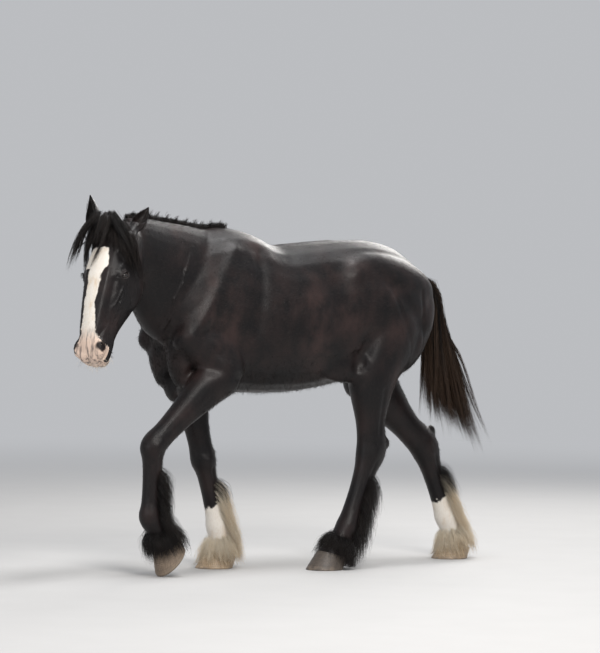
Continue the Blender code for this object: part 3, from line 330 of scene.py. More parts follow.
# Strokes that raise or sink the skin of the right side: start, end, radius, height
RELIEF = (
    ((0.195, 0.262, 1.530), (0.215, 0.262, 1.500), 0.050, 0.020),
    ((0.075, 0.270, 1.450), (0.110, 0.290, 1.280), 0.080, -0.016),
    ((-0.340, 0.200, 1.600), (-0.400, 0.270, 1.180), 0.040, -0.013),
    ((-0.480, 0.170, 1.600), (-0.740, 0.235, 1.180), 0.035, 0.010),
    ((-0.790, 0.190, 1.130), (-0.775, 0.200, 1.150), 0.055, 0.016),
    ((-0.660, 0.250, 1.020), (-0.470, 0.260, 0.965), 0.035, -0.010),
    ((0.330, 0.280, 1.520), (0.700, 0.210, 1.160), 0.035, -0.010),
    ((0.300, 0.290, 1.180), (0.240, 0.230, 1.020), 0.035, -0.014),
    ((0.120, 0.230, 1.030), (0.230, 0.200, 0.990), 0.030, 0.010),
)
# Grooves down the middle of the breast, croup and buttocks
MIDDLE_RELIEF = (
    ((-0.840, 0.0, 1.240), (-0.800, 0.0, 0.960), 0.030, -0.018),
    ((0.250, 0.0, 1.680), (0.760, 0.0, 1.500), 0.030, -0.010),
    ((0.810, 0.0, 1.360), (0.640, 0.0, 1.020), 0.040, -0.035),
)
# Muscle edges, veins and folds that only the skin has
FINE_RELIEF = (
    ((-0.560, 0.255, 1.420), (-0.690, 0.250, 1.190), 0.018, 0.0016),
    ((-0.530, 0.260, 1.400), (-0.660, 0.260, 1.170), 0.020, -0.0022),
    ((-0.690, 0.250, 1.150), (-0.560, 0.262, 1.060), 0.013, -0.0045),
    ((-0.450, 0.270, 1.050), (-0.430, 0.250, 0.960), 0.012, -0.0040),
    ((-0.380, 0.270, 1.010), (-0.100, 0.262, 0.985), 0.006, 0.0030),
    ((-0.100, 0.262, 0.985), (0.060, 0.250, 1.010), 0.006, 0.0026),
    ((0.240, 0.250, 1.110), (0.330, 0.255, 1.000), 0.012, 0.0050),
    ((0.215, 0.240, 1.090), (0.300, 0.250, 0.985), 0.010, -0.0050),
    ((0.420, 0.285, 1.420), (0.560, 0.250, 1.100), 0.014, -0.0050),
    ((0.640, 0.240, 1.400), (0.660, 0.215, 1.080), 0.013, -0.0055),
)
RIBS = 9
# Bones, veins and folds of the face, in the head's own directions: start, end, radius, height
FACE_RELIEF = (
    ((0.330, -0.030, 0.112), (0.470, -0.008, 0.078), 0.009, 0.0045),
    ((0.340, -0.062, 0.112), (0.470, -0.040, 0.080), 0.013, -0.0040),
    ((0.350, 0.030, 0.088), (0.540, 0.006, 0.070), 0.020, -0.0060),
    ((0.300, 0.062, 0.060), (0.585, 0.030, 0.042), 0.012, 0.0035),
    ((0.214, 0.034, 0.098), (0.226, 0.020, 0.102), 0.022, -0.0080),
    ((0.150, 0.050, 0.050), (0.260, 0.080, 0.060), 0.018, -0.0030),
    ((0.180, -0.205, 0.090), (0.320, -0.228, 0.085), 0.016, 0.0040),
    ((0.320, -0.228, 0.085), (0.450, -0.194, 0.062), 0.013, 0.0030),
    ((0.278, -0.078, 0.120), (0.345, -0.130, 0.112), 0.018, 0.0040),
    ((0.455, -0.060, 0.090), (0.430, -0.160, 0.082), 0.012, -0.0045),
    ((0.375, -0.022, 0.106), (0.455, -0.014, 0.090), 0.007, 0.0030),
    ((0.381, -0.036, 0.108), (0.423, -0.034, 0.100), 0.0055, -0.0045),
    ((0.423, -0.034, 0.100), (0.460, -0.026, 0.092), 0.0055, -0.0040),
    ((0.372, -0.050, 0.109), (0.440, -0.048, 0.098), 0.0065, 0.0034),
    ((0.440, -0.060, 0.098), (0.502, -0.050, 0.088), 0.0060, -0.0034),
    ((0.502, -0.050, 0.088), (0.545, -0.042, 0.081), 0.0060, -0.0030),
    ((0.450, -0.076, 0.097), (0.530, -0.064, 0.083), 0.0065, 0.0028),
    ((0.545, -0.010, 0.070), (0.618, 0.014, 0.060), 0.010, -0.0045),
    ((0.585, -0.045, 0.074), (0.640, -0.064, 0.072), 0.011, -0.0035),
    ((0.590, -0.108, 0.066), (0.622, -0.100, 0.072), 0.008, -0.0035),
    ((0.600, -0.088, 0.070), (0.640, -0.078, 0.070), 0.008, 0.0030),
    ((0.600, -0.122, 0.062), (0.650, -0.112, 0.055), 0.008, 0.0025),
    ((0.655, -0.128, 0.000), (0.655, -0.124, 0.040), 0.010, -0.0040),
    ((0.360, -0.075, 0.116), (0.405, -0.110, 0.108), 0.0045, 0.0024),
    ((0.405, -0.110, 0.108), (0.418, -0.190, 0.088), 0.0045, 0.0024),
    ((0.400, -0.035, 0.098), (0.440, -0.075, 0.092), 0.0040, 0.0020),
    ((0.440, -0.075, 0.092), (0.530, -0.070, 0.078), 0.0040, 0.0018),
)
# The crease ahead of the shoulder, down the right side
SHOULDER_CREASE = (
    (-0.742, 0.177, 1.572),
    (-0.782, 0.194, 1.495),
    (-0.796, 0.193, 1.431),
    (-0.838, 0.178, 1.355),
    (-0.832, 0.159, 1.291),
    (-0.844, 0.143, 1.253),
    (-0.856, 0.111, 1.209),
)
# The blaze: down the face, and where its far and near edges lie on the face
BLAZE = (
    (0.180, -0.055, 0.034),
    (0.235, -0.078, 0.046),
    (0.275, -0.088, 0.055),
    (0.290, -0.086, 0.051),
    (0.300, -0.046, 0.046),
    (0.330, -0.037, 0.033),
    (0.420, -0.032, 0.030),
    (0.487, -0.034, 0.029),
    (0.551, -0.034, 0.037),
    (0.605, -0.036, 0.046),
    (0.632, -0.046, 0.060),
    (0.655, -0.060, 0.088),
    (0.700, -0.066, 0.090),
    (0.740, -0.066, 0.080),
)
# Patches of painted brown sheen where light falls on the near shoulder, ribs and haunch: middle and size
PAINTED_SHEEN_PATCHES = (
    ((-0.62, -0.2, 1.25), (0.16, 0.3, 0.22)),
    ((0.05, -0.2, 1.22), (0.28, 0.3, 0.18)),
    ((0.62, -0.2, 1.25), (0.20, 0.3, 0.22)),
)
STOCKING_HEIGHTS = {"fore_right": 0.330, "hind_right": 0.325}
COAT_BLACK = (0.0050, 0.0043, 0.0047, 1)
# The coat's brown, which also paints a sheen where light falls on the near side
COAT_BROWN_AND_SHEEN = (0.038, 0.0225, 0.0205, 1)
COAT_WHITE = (0.70, 0.66, 0.60, 1)
BLACK_GRAIN = (0.021, 0.017, 0.016, 1)
WHITE_GRAIN = (0.50, 0.42, 0.34, 1)
WHITE_STAIN = (0.58, 0.45, 0.32, 1)
BARE_SKIN = (0.016, 0.012, 0.012, 1)
SKIN_PINK = (0.62, 0.47, 0.38, 1)
MUZZLE_GREY = (0.17, 0.135, 0.12, 1)
BACKDROP = (0.50, 0.51, 0.53, 1)
FLOOR_SIZE = 160
FLOOR_FADE = (3.0, 13.0)
FLOOR_TONES = ((0.47, 0.465, 0.46, 1), (0.51, 0.505, 0.50, 1))
# Strands of the forelock that stray: points down the head, how many, and how far they scatter
FORELOCK_STRANDS = (
    (((0.03, 0.1, 0.03), (0.12, 0.096, 0.02), (0.2, 0.092, 0.007), (0.33, 0.088, -0.036)), 3, 0.003),
    (((0.028, 0.1, -0.04), (0.1, 0.098, -0.1), (0.19, 0.074, -0.15), (0.29, 0.04, -0.178)), 6, 0.012),
    (((0.028, 0.095, -0.06), (0.09, 0.07, -0.13), (0.17, 0.04, -0.168), (0.23, 0.03, -0.19)), 4, 0.016),
    (((0.03, 0.094, -0.006), (0.085, 0.106, -0.008), (0.14, 0.1, -0.012), (0.2, 0.092, -0.016)), 6, 0.01),
    (((0.028, 0.1, 0.02), (0.11, 0.07, 0.08), (0.21, -0.03, 0.124), (0.31, -0.14, 0.136)), 4, 0.011),
    (((0.028, 0.09, 0.045), (0.1, 0.04, 0.1), (0.19, -0.07, 0.13), (0.27, -0.17, 0.134)), 3, 0.014),
)
FLESH = ["torso", "neck", "head", "ear_left", "ear_right"] + [
    leg + part for leg in LEGS for part in ("_upper", "_shank")
]
# How many guides and hairs there are, and hair widths
TAIL_GUIDES = 150
TAIL_HAIRS = 5600
TAIL_SEED = 21
TAIL_SCATTER = (0.026, 0.020, 0.020)
MANE_GUIDES = 210
MANE_EACH = 26
FORELOCK_GUIDES = 44
FORELOCK_EACH = 46
FEATHER_BACK = 120
FEATHER_RING = 110
FEATHER_EACH = 24
FEATHER_SEED = 30
FEATHER_LOWEST = 0.004
FINE_WIDTHS = (0.0012, 0.0022)
FEATHER_WIDTHS = (0.0012, 0.0024)
TAIL_WIDTHS = (0.0013, 0.0028)
WHISKER_WIDTH = 0.0011
TUFTS = 11500
TUFT_WIDTHS = (0.0010, 0.0018)
TUFT_DEPTH = 0.0012
COAT_PARTING = -0.45
LASHES = 32
EAR_HAIRS = 420
WHISKERS = 90
HAIR_SEED = 7
# Hairs round a guide: how far apart at root, middle and tip, how much they sway, shortest share, points
TAIL_CLUMP = ((0.006, 0.0045, 0.0022), 0.006, 0.62, 7)
MANE_CLUMP = ((0.006, 0.005, 0.004), 0.004, 0.45, 5)
FORELOCK_CLUMP = ((0.0050, 0.0042, 0.0022), 0.005, 0.6, 6)
FEATHER_CLUMP = ((0.009, 0.012, 0.007), 0.009, 0.5, 5)
# The unwrap: a hair's patch on it, share of the faces kept, sharpest angle and margin
BAKE_PATCH = 0.003
BAKE_RATIO = 0.05
BAKE_ANGLE = 1.15
BAKE_MARGIN = 0.004
# Hair colours: dark, light and tip
BLACK_HAIR = ((0.007, 0.006, 0.006, 1), (0.022, 0.017, 0.015, 1), (0.020, 0.015, 0.013, 1))
TAIL_HAIR = ((0.004, 0.0035, 0.0035, 1), (0.070, 0.042, 0.026, 1), (0.062, 0.038, 0.025, 1))
FUR_TUFTS = ((0.007, 0.006, 0.006, 1), (0.022, 0.016, 0.013, 1), (0.020, 0.014, 0.011, 1))
FEATHER_PALE = ((0.74, 0.66, 0.53, 1), (0.58, 0.40, 0.21, 1))
GLOSS = 0.20
# Iris, its outer edge, the pupil and the rim of the eye
IRIS = ((0.004, 0.002, 0.0015, 1), (0.020, 0.009, 0.005, 1))
IRIS_EDGE = (0.004, 0.003, 0.002, 1)
PUPIL = (0.002, 0.002, 0.003, 1)
EYE_RIM = (0.030, 0.019, 0.016, 1)
# Horn, dark and light
PALE_HORN = ((0.34, 0.24, 0.15, 1), (0.52, 0.40, 0.27, 1))
BROWN_HORN = ((0.15, 0.11, 0.078, 1), (0.29, 0.215, 0.15, 1))
DARK_HORN = ((0.050, 0.040, 0.034, 1), (0.120, 0.095, 0.075, 1))
SOIL = (0.20, 0.155, 0.115, 1)
SOLE_HORN = (0.16, 0.125, 0.095, 1)
# Soft lights: name, place, size, power, colour
LIGHTS = (
    ("key", (-2.2, -6.2, 5.4), (2.2, 2.2), 420, (1.0, 0.97, 0.93)),
    ("fill", (-7.5, -2.0, 2.4), (3.0, 3.0), 90, (0.93, 0.96, 1.0)),
    ("rim", (5.5, 3.5, 4.6), (4.0, 2.0), 260, (1.0, 0.98, 0.95)),
    ("top", (0.4, -0.6, 5.2), (3.5, 0.8), 170, (1.0, 1.0, 1.0)),
)
# Eyelids, upper and lower: how high they arch and how thick they are
LIDS = ((0.0155, 0.0055), (-0.0150, 0.0050))


def head_axes():
    """The head's axes: down the face, out of the forehead, and to the horse's left."""
    forward = Vector((-math.cos(HEAD_YAW), -math.sin(HEAD_YAW), 0))
    left = Vector((math.sin(HEAD_YAW), -math.cos(HEAD_YAW), 0))
    down = forward * math.sin(HEAD_PITCH) - Vector((0, 0, math.cos(HEAD_PITCH)))
    out = forward * math.cos(HEAD_PITCH) + Vector((0, 0, math.sin(HEAD_PITCH)))
    roll = Matrix.Rotation(HEAD_ROLL, 3, forward)
    return roll @ down, roll @ out, roll @ left


FACE_DOWN, FACE_OUT, FACE_LEFT = head_axes()


def on_head(along, out, left):
    """A place given down the face from the poll, out of the face, and to the horse's left."""
    return POLL + FACE_DOWN * along * HEAD_STRETCH + FACE_OUT * out + FACE_LEFT * left


HEAD_CUT = on_head(0.18, -0.280, 0)


def smooth_rows(rows, steps):
    """Rows of numbers with more rows between them on smooth curves."""
    rows = np.array(rows, float)
    padded = np.vstack([2 * rows[0] - rows[1], rows, 2 * rows[-1] - rows[-2]])
    result = []
    for index in range(1, len(padded) - 2):
        before, start, end, after = padded[index - 1 : index + 3]
        for step in range(steps):
            t = step / steps
            bend = (2 * before - 5 * start + 4 * end - after) * t * t
            twist = (3 * start - before - 3 * end + after) * t**3
            result.append(0.5 * (2 * start + (end - before) * t + bend + twist))
    result.append(rows[-1])
    return np.array(result)


def add_object(name, data):
    obj = bpy.data.objects.new(name, data)
    bpy.context.scene.collection.objects.link(obj)
    return obj


def mesh_object(name, points, faces):
    mesh = bpy.data.meshes.new(name)
    mesh.from_pydata([tuple(p) for p in points], [], faces)
    mesh.validate()
    return add_object(name, mesh)


def rings_to_object(name, rings):
    """A closed loft through rings that have the same number of points."""
    count = len(rings[0])
    points = [p for ring in rings for p in ring]
    faces = []
    for level in range(len(rings) - 1):
        for k in range(count):
            near = level * count
            far = near + count
            after = (k + 1) % count
            faces.append((near + k, near + after, far + after, far + k))
    faces.append(tuple(reversed(range(count))))
    faces.append(tuple(range(len(points) - count, len(points))))
    obj = mesh_object(name, points, faces)
    face_outwards(obj)
    return obj


def rows_of(items, key, width, kind=float):
    """The numbers of some parts of a mesh, in rows of a width."""
    values = np.empty(len(items) * width, kind)
    items.foreach_get(key, values)
    return values.reshape(-1, width)


def corners_of(mesh):
    """The vertices of a mesh's triangles, in rows of three."""
    mesh.calc_loop_triangles()
    return rows_of(mesh.loop_triangles, "vertices", 3, np.int32)


def face_outwards(obj):
    """Turns the faces out of a closed mesh if its volume says that they point in."""
    corners = points_of(obj)[corners_of(obj.data)]
    volume = np.einsum("ij,ij->i", corners[:, 0], np.cross(corners[:, 1], corners[:, 2])).sum()
    if volume < 0:
        obj.data.flip_normals()


def turns(count):
    """Cosine and sine at so many even steps round a circle."""
    angles = [2 * math.pi * k / count for k in range(count)]
    return [(math.cos(angle), math.sin(angle)) for angle in angles]


def loft(name, rows, side, sides=24, steps=4, upper=2.0, lower=2.0):
    """A limb-like loft.

    A row is (x, y, z, above, below, across): the section's centre, and how far it reaches ahead of
    the path, behind it and to each side. The exponents make the two halves squarer or more pinched.
    """
    side = Vector(side).normalized()
    dense = smooth_rows(rows, steps)
    rings = []
    for index, row in enumerate(dense):
        centre = Vector(row[:3])
        start = Vector(dense[max(index - 1, 0)][:3])
        end = Vector(dense[min(index + 1, len(dense) - 1)][:3])
        tangent = (end - start).normalized()
        above = tangent.cross(side).normalized()
        across = above.cross(tangent).normalized()
        ring = []
        for c, s in turns(sides):
            power = 2 / (upper if s > 0 else lower)
            height = (row[3] if s > 0 else row[4]) * math.copysign(abs(s) ** power, s)
            width = row[5] * math.copysign(abs(c) ** power, c)
            ring.append(centre + above * height + across * width)
        rings.append(ring)
    return rings_to_object(name, rings)


def ball(centre, radii, axes=None):
    """An ellipsoid. Axes are the directions of its radii, X, Y and Z where none are given."""
    bpy.ops.mesh.primitive_uv_sphere_add(segments=24, ring_count=14, radius=1)
    obj = bpy.context.object
    turn = Matrix(axes).transposed().to_4x4() if axes else Matrix.Identity(4)
    obj.data.transform(Matrix.Translation(centre) @ turn @ Matrix.Diagonal((*radii, 1)))
    face_outwards(obj)
    return obj


def long_ball(start, end, wide, thick, side=(0, 1, 0)):
    """An ellipsoid whose long axis runs from start to end, thin along side."""
    start = Vector(start)
    end = Vector(end)
    along = (end - start).normalized()
    across = along.cross(Vector(side)).normalized()
    out = across.cross(along)
    radii = ((end - start).length / 2, wide, thick)
    return ball((start + end) / 2, radii, (along, across, out))


def hoof_frame(leg):
    """The matrix that takes a hoof from its own frame to its place on a leg."""
    turn = Matrix.Rotation(math.pi, 4, "Z") @ Matrix.Rotation(leg["toe_down"], 4, "Y")
    return Matrix.Translation(leg["sole"]) @ turn


def coronet(leg):
    """The middle of the hair line above a hoof."""
    return hoof_frame(leg) @ Vector((-CORONET_SET_BACK, 0, CORONET_HEIGHT))


def leg_rows(joints, profile):
    """Sections of a leg from (joint, share, above, below, across), past the last joint too."""
    rows = []
    for joint, share, above, below, across in profile:
        start = Vector(joints[joint])
        end = Vector(joints[joint + 1])
        rows.append((*start.lerp(end, share), above, below, across))
    return rows


def fore_joints(leg):
    side = math.copysign(1, leg["knee"][1])
    shoulder = (-0.600, side * 0.120, 1.300)
    return [shoulder, leg["elbow"], leg["knee"], leg["fetlock"], coronet(leg)]


def hind_joints(leg):
    return [leg["hip"], leg["stifle"], leg["hock"], leg["fetlock"], coronet(leg)]


def trunk_rows():
    rows = []
    for x, top, bottom, share in TRUNK:
        middle = bottom + (top - bottom) * TRUNK_MIDDLE
        rows.append((x, 0, middle, top - middle, middle - bottom, share * BARREL_HALF_WIDTH))
    return rows


def head_rows():
    rows = []
    for along, front, back, width in HEAD:
        middle = (front + back) / 2
        half = (front - back) / 2
        rows.append((*on_head(along, middle, 0), half, half, width))
    return rows


def flip(place, side):
    """A place of the right side, on either side."""
    return (place[0], side * place[1], place[2])


def mirrored(strokes, side):
    """Strokes of the right side, on either side."""
    return [(flip(start, side), flip(end, side), radius, height) for start, end, radius, height in strokes]


def side_muscles(side):
    """Shoulder, breast, rump, buttock and the fold of the flank of one side."""
    pieces = [long_ball(*row) for row in mirrored(SHOULDER_LONG, side)]
    pieces += [ball(flip(centre, side), radii) for centre, radii in SHOULDER_ROUND]
    pieces += [long_ball(*row) for row in mirrored(HIP_LONG, side)]
    return pieces


def backwards(down):
    """The way to the horse's rear that is square to a way down a leg."""
    return Vector((-down.z, 0, down.x)).normalized()


def leg_bones(leg, hind):
    """The knobs that show under the skin of one leg."""
    start = Vector(leg["hock" if hind else "knee"])
    down = (Vector(leg["fetlock"]) - start).normalized()
    back = backwards(down)
    if hind:
        stifle = Vector(leg["stifle"])
        point = start - down * 0.058 + back * 0.074
        tendon = start.lerp(stifle, 0.40) + back * 0.062
        return [
            ball(point, (0.030, 0.027, 0.036)),
            long_ball(point + down * 0.05, tendon, 0.030, 0.024),
            ball(stifle + Vector((-0.080, 0, -0.01)), (0.050, 0.075, 0.080)),
        ]
    return [ball(start + back * 0.050 - down * 0.02, (0.030, 0.028, 0.040))]


def skull_pieces(side):
    """Cheek, temple, cheek bone, brow, eye socket, nostril rim, upper lip and chin of one side."""
    along, out, left = EYE_PLACE
    nostril = on_head(NOSTRIL_PLACE[0], NOSTRIL_PLACE[1], side * NOSTRIL_PLACE[2])
    axes = (FACE_DOWN, FACE_OUT, FACE_LEFT)
    bone = (on_head(0.220, -0.050, side * 0.098), on_head(0.470, 0.010, side * 0.073))
    brow_start = on_head(along - 0.068, out - 0.004, side * left)
    brow_end = on_head(along + 0.008, out + 0.044, side * (left - 0.010))
    return [
        ball(on_head(0.310, -0.125, side * 0.064), (0.135, 0.100, 0.052), axes),
        ball(on_head(0.150, -0.030, side * 0.084), (0.070, 0.055, 0.032), axes),
        long_ball(*bone, 0.022, 0.022, FACE_LEFT),
        long_ball(brow_start, brow_end, 0.020, 0.014, FACE_LEFT),
        ball(on_head(along, out, side * (left - 0.004)), (0.048, 0.040, 0.022), axes),
        ball(nostril, (0.052, 0.036, 0.026), axes),
        ball(on_head(0.698, -0.038, side * 0.028), (0.034, 0.042, 0.036), axes),
        ball(on_head(0.684, -0.116, side * 0.018), (0.038, 0.030, 0.034), axes),
    ]


def select_only(*objects):
    """Selects these objects alone, with the first as the active one."""
    bpy.ops.object.select_all(action="DESELECT")
    for obj in objects:
        obj.select_set(True)
    bpy.context.view_layer.objects.active = objects[0]


def rename(obj, name):
    obj.name = name
    obj.data.name = name
    return obj


def join(objects, name):
    """One object that holds every object's mesh."""
    select_only(*objects)
    bpy.ops.object.join()
    return rename(objects[0], name)


def apply_modifiers(obj):
    select_only(obj)
    for modifier in list(obj.modifiers):
        bpy.ops.object.modifier_apply(modifier=modifier.name)


def sculpt(obj, strokes):
    """Raises or sinks a mesh along strokes of (start, end, radius, height)."""
    points = points_of(obj)
    move = np.zeros(len(points))
    for start, end, radius, height in strokes:
        start = np.array(start)
        along = np.array(end) - start
        share = np.clip((points - start) @ along / max(along @ along, 1e-9), 0, 1)
        distance = np.linalg.norm(points - start - share[:, None] * along, axis=1)
        move += height * np.exp(-((distance / radius) ** 2))
    put_points(obj, points + normals_of(obj) * move[:, None])


def head_shapes():
    pieces = [loft("skull", head_rows(), FACE_LEFT, upper=2.3, lower=2.1)]
    for side in (-1, 1):
        pieces += skull_pieces(side)
    return pieces


def body_shapes():
    across = (0, -1, 0)
    pieces = [
        loft("trunk", trunk_rows(), across, upper=1.95, lower=2.15),
        loft("neck", NECK, across, upper=1.75, lower=2.0),
        loft("dock", DOCK, across, sides=16),
    ]
    for name, leg in LEGS.items():
        hind = name.startswith("hind")
        joints, profile = (hind_joints(leg), HIND_PROFILE) if hind else (fore_joints(leg), FORE_PROFILE)
        pieces.append(loft("leg", leg_rows(joints, profile), across, steps=3))
        pieces += leg_bones(leg, hind)
    for side in (-1, 1):
        pieces += side_muscles(side)
    return pieces


def eye_centre(side):
    """The middle of an eyeball, which lies a little inside its lids."""
    along, out, left = EYE_PLACE
    return on_head(along, out, side * left)


def eye_axes(side):
    """The long way of an eye's opening, its height and the way that it looks."""
    look = (FACE_LEFT * side + FACE_OUT * 0.36 + FACE_DOWN * 0.10).normalized()
    long = (FACE_DOWN * 0.80 + FACE_OUT * 0.60).normalized()
    long = (long - look * long.dot(look)).normalized()
    return long, look.cross(long).normalized(), look


def eyelid(side, height, thick):
    """One lid: a tube that arches over the eyeball from corner to corner."""
    long, short, look = eye_axes(side)
    centre = eye_centre(side)
    reach = EYE_RADIUS + LID_ROOM
    rows = []
    for step in range(9):
        angle = math.pi * step / 8
        x = LID_HALF_LENGTH * math.cos(angle)
        y = height * math.sin(angle)
        depth = math.sqrt(max(reach * reach - x * x - y * y, 0))
        rows.append((*(centre + long * x + short * y + look * depth), thick, thick, thick))
    return loft("lid", rows, look, sides=10, steps=2)


def eye_opening(side):
    """The almond between the lids, in front of the eyeball."""
    long, short, look = eye_axes(side)
    size = (EYE_OPENING_LENGTH / 2, EYE_OPENING_HEIGHT / 2, EYE_OPENING_DEPTH)
    return ball(eye_centre(side) + look * (EYE_RADIUS + LID_ROOM), size, (long, short, look))


def nostril_cutter(side):
    """The comma-shaped hollow of a nostril."""
    along, out, left = NOSTRIL_PLACE
    slant = Matrix.Rotation(NOSTRIL_SLANT * side, 3, FACE_LEFT)
    axes = (slant @ FACE_DOWN, slant @ FACE_OUT, FACE_LEFT)
    middle = on_head(along + 0.004, out + 0.010, side * (left + 0.026))
    return ball(middle, NOSTRIL_SIZE, axes)


def mouth_cutter():
    """The thin slit between the lips, from one corner of the mouth to the other."""
    corner = on_head(*MOUTH_CORNER)
    front = on_head(*MOUTH_FRONT)
    along = (front - corner).normalized()
    out = FACE_LEFT.cross(along)
    bpy.ops.mesh.primitive_cube_add(size=1)
    obj = bpy.context.object
    size = Matrix.Diagonal(((front - corner).length, MOUTH_CUT_WIDTH, MOUTH_SLIT, 1))
    turn = Matrix((along, FACE_LEFT, out)).transposed().to_4x4()
    obj.data.transform(Matrix.Translation((corner + front) / 2) @ turn @ size)
    return obj


def ear_places(name):
    """An ear's base, tip, the way from base to tip and the way that its cup faces."""
    row = EARS[name]
    base = on_head(*row["base"])
    tip = on_head(*row["tip"])
    along, out, left = row["faces"]
    faces = FACE_DOWN * along + FACE_OUT * out + FACE_LEFT * left
    axis = (tip - base).normalized()
    return base, tip, axis, (faces - axis * faces.dot(axis)).normalized()


def ear(name):
    """A cupped ear: crescent sections, nearly closed at the base and flat at the tip."""
    base, tip, axis, faces = ear_places(name)
    side = axis.cross(faces)
    points_a_side = 8
    rings = []
    for share, width, opening, cup in EAR:
        centre = base.lerp(tip, share) + axis * GAP - faces * EAR_BOW * math.sin(math.pi * share)
        half = math.radians(opening)
        outer = []
        inner = []
        for k in range(points_a_side):
            angle = half * (2 * k / (points_a_side - 1) - 1)
            arm = side * math.sin(angle) - faces * math.cos(angle)
            wall = min(EAR_WALL, width * 0.55)
            chord = side * math.sin(half) * (2 * k / (points_a_side - 1) - 1) - faces * math.cos(half)
            outer.append(centre + arm * width)
            inner.append(centre + (chord * (width - wall)).lerp(arm * (width - wall), cup))
        rings.append(outer + inner[::-1])
    return rings_to_object(name, rings)


def boolean(obj, others, operation):
    """Joins or cuts an object with every one of the others, which are then removed."""
    group = bpy.data.collections.new("operands")
    bpy.context.scene.collection.children.link(group)
    for other in others:
        for collection in list(other.users_collection):
            collection.objects.unlink(other)
        group.objects.link(other)
    modifier = obj.modifiers.new("cut", "BOOLEAN")
    modifier.operation = operation
    modifier.operand_type = "COLLECTION"
    modifier.collection = group
    modifier.solver = "MANIFOLD"
    apply_modifiers(obj)
    for other in others:
        bpy.data.objects.remove(other, do_unlink=True)
    bpy.data.collections.remove(group)


def keep_largest(obj):
    """Keeps only the largest closed surface of a mesh."""
    name = obj.name
    select_only(obj)
    bpy.ops.mesh.separate(type="LOOSE")
    pieces = sorted(bpy.context.selected_objects, key=lambda piece: piece.dimensions.length)
    for piece in pieces[:-1]:
        bpy.data.objects.remove(piece, do_unlink=True)
    return rename(pieces[-1], name)


def curve_points(controls, count):
    """So many points at even shares of a smooth path through a few control points."""
    rows = smooth_rows([tuple(c) for c in controls], 8)
    places = np.linspace(0, len(rows) - 1, count)
    return [Vector([np.interp(p, range(len(rows)), rows[:, axis]) for axis in range(3)]) for p in places]


def ear_root(name):
    """The muscle that carries an ear and narrows up to its base."""
    base, _, axis, _ = ear_places(name)
    rows = [(*(base + axis * reach), radius, radius, radius) for reach, radius in EAR_ROOT]
    return loft("ear_root", rows, FACE_OUT, sides=20, steps=2)


def clear_of(obj, point, distance):
    """A point moved out of a mesh until it lies so far above its surface."""
    _, place, normal, _ = obj.closest_point_on_mesh(point)
    height = (point - place).dot(normal)
    if height < distance:
        return place + normal * distance
    return point


def clear_of_hoof(leg, point):
    """A point moved sideways out of a hoof's wall, and kept above the floor."""
    frame = hoof_frame(leg)
    local = frame.inverted() @ point
    rise = min(max(local.z / CORONET_HEIGHT, 0.0), 1.0)
    back = CORONET_SET_BACK * rise
    long = SOLE_HALF_LENGTH + (CORONET_HALF_LENGTH - SOLE_HALF_LENGTH) * rise + HOOF_CLEARANCE
    wide = SOLE_HALF_WIDTH + (CORONET_HALF_WIDTH - SOLE_HALF_WIDTH) * rise + HOOF_CLEARANCE
    reach = math.hypot((local.x + back) / long, local.y / wide)
    if local.z < CORONET_HEIGHT * 1.3 and 0 < reach < 1:
        local.x = (local.x + back) / reach - back
        local.y /= reach
        point = frame @ local
    point.z = max(point.z, FLOOR_CLEARANCE)
    return point


def feather_paths(leg, shank, hind, back_count, ring_count, seed):
    """Paths of the long hair of a lower leg: down the back of it, and all round the hair line.

    Each path is its control points and the way that it faces.
    """
    rng = random.Random(seed)
    top = Vector(leg["hock" if hind else "knee"])
    fetlock = Vector(leg["fetlock"])
    foot = coronet(leg)
    tufts = []
    for k in range(back_count):
        share = 0.30 + 0.80 * (k + 0.5) / back_count
        angle = math.radians(66) * (2 * ((k * GOLDEN) % 1) - 1)
        tufts.append((share, angle, 0.120 + 0.020 * share + 0.030 * rng.random()))
    for k in range(ring_count):
        angle = 2 * math.pi * (k + 0.5) / ring_count
        behind = 0.5 + 0.5 * math.cos(angle)
        share = 1.38 + 0.26 * ((k * GOLDEN_REST) % 1)
        tufts.append((share, angle, 0.088 + 0.046 * behind + 0.012 * rng.random()))
    paths = []
    for share, angle, length in tufts:
        if share <= 1:
            start, end, part = top, fetlock, share
        else:
            start, end, part = fetlock, foot, share - 1
        down = (end - start).normalized()
        back = backwards(down)
        side = down.cross(back)
        out = back * math.cos(angle) + side * math.sin(angle)
        axis_point = start.lerp(end, part)
        hit, place, _, _ = shank.ray_cast(axis_point, out)
        if not hit:
            place = axis_point + out * 0.05
        behind = 0.5 + 0.5 * math.cos(angle)
        flow = (down + Vector((0, 0, -0.8)) + out * (0.10 + 0.24 * behind)).normalized()
        controls = [place - out * 0.014]
        for step in (0.25, 0.6, 1.0):
            lift = 0.008 + 0.030 * step * (1 - 0.35 * step)
            point = place + out * lift + flow * length * step + side * rng.uniform(-0.010, 0.010) * step
            point = clear_of(shank, point, 0.004 + 0.004 * step)
            controls.append(clear_of_hoof(leg, point))
        paths.append((controls, out))
    return paths


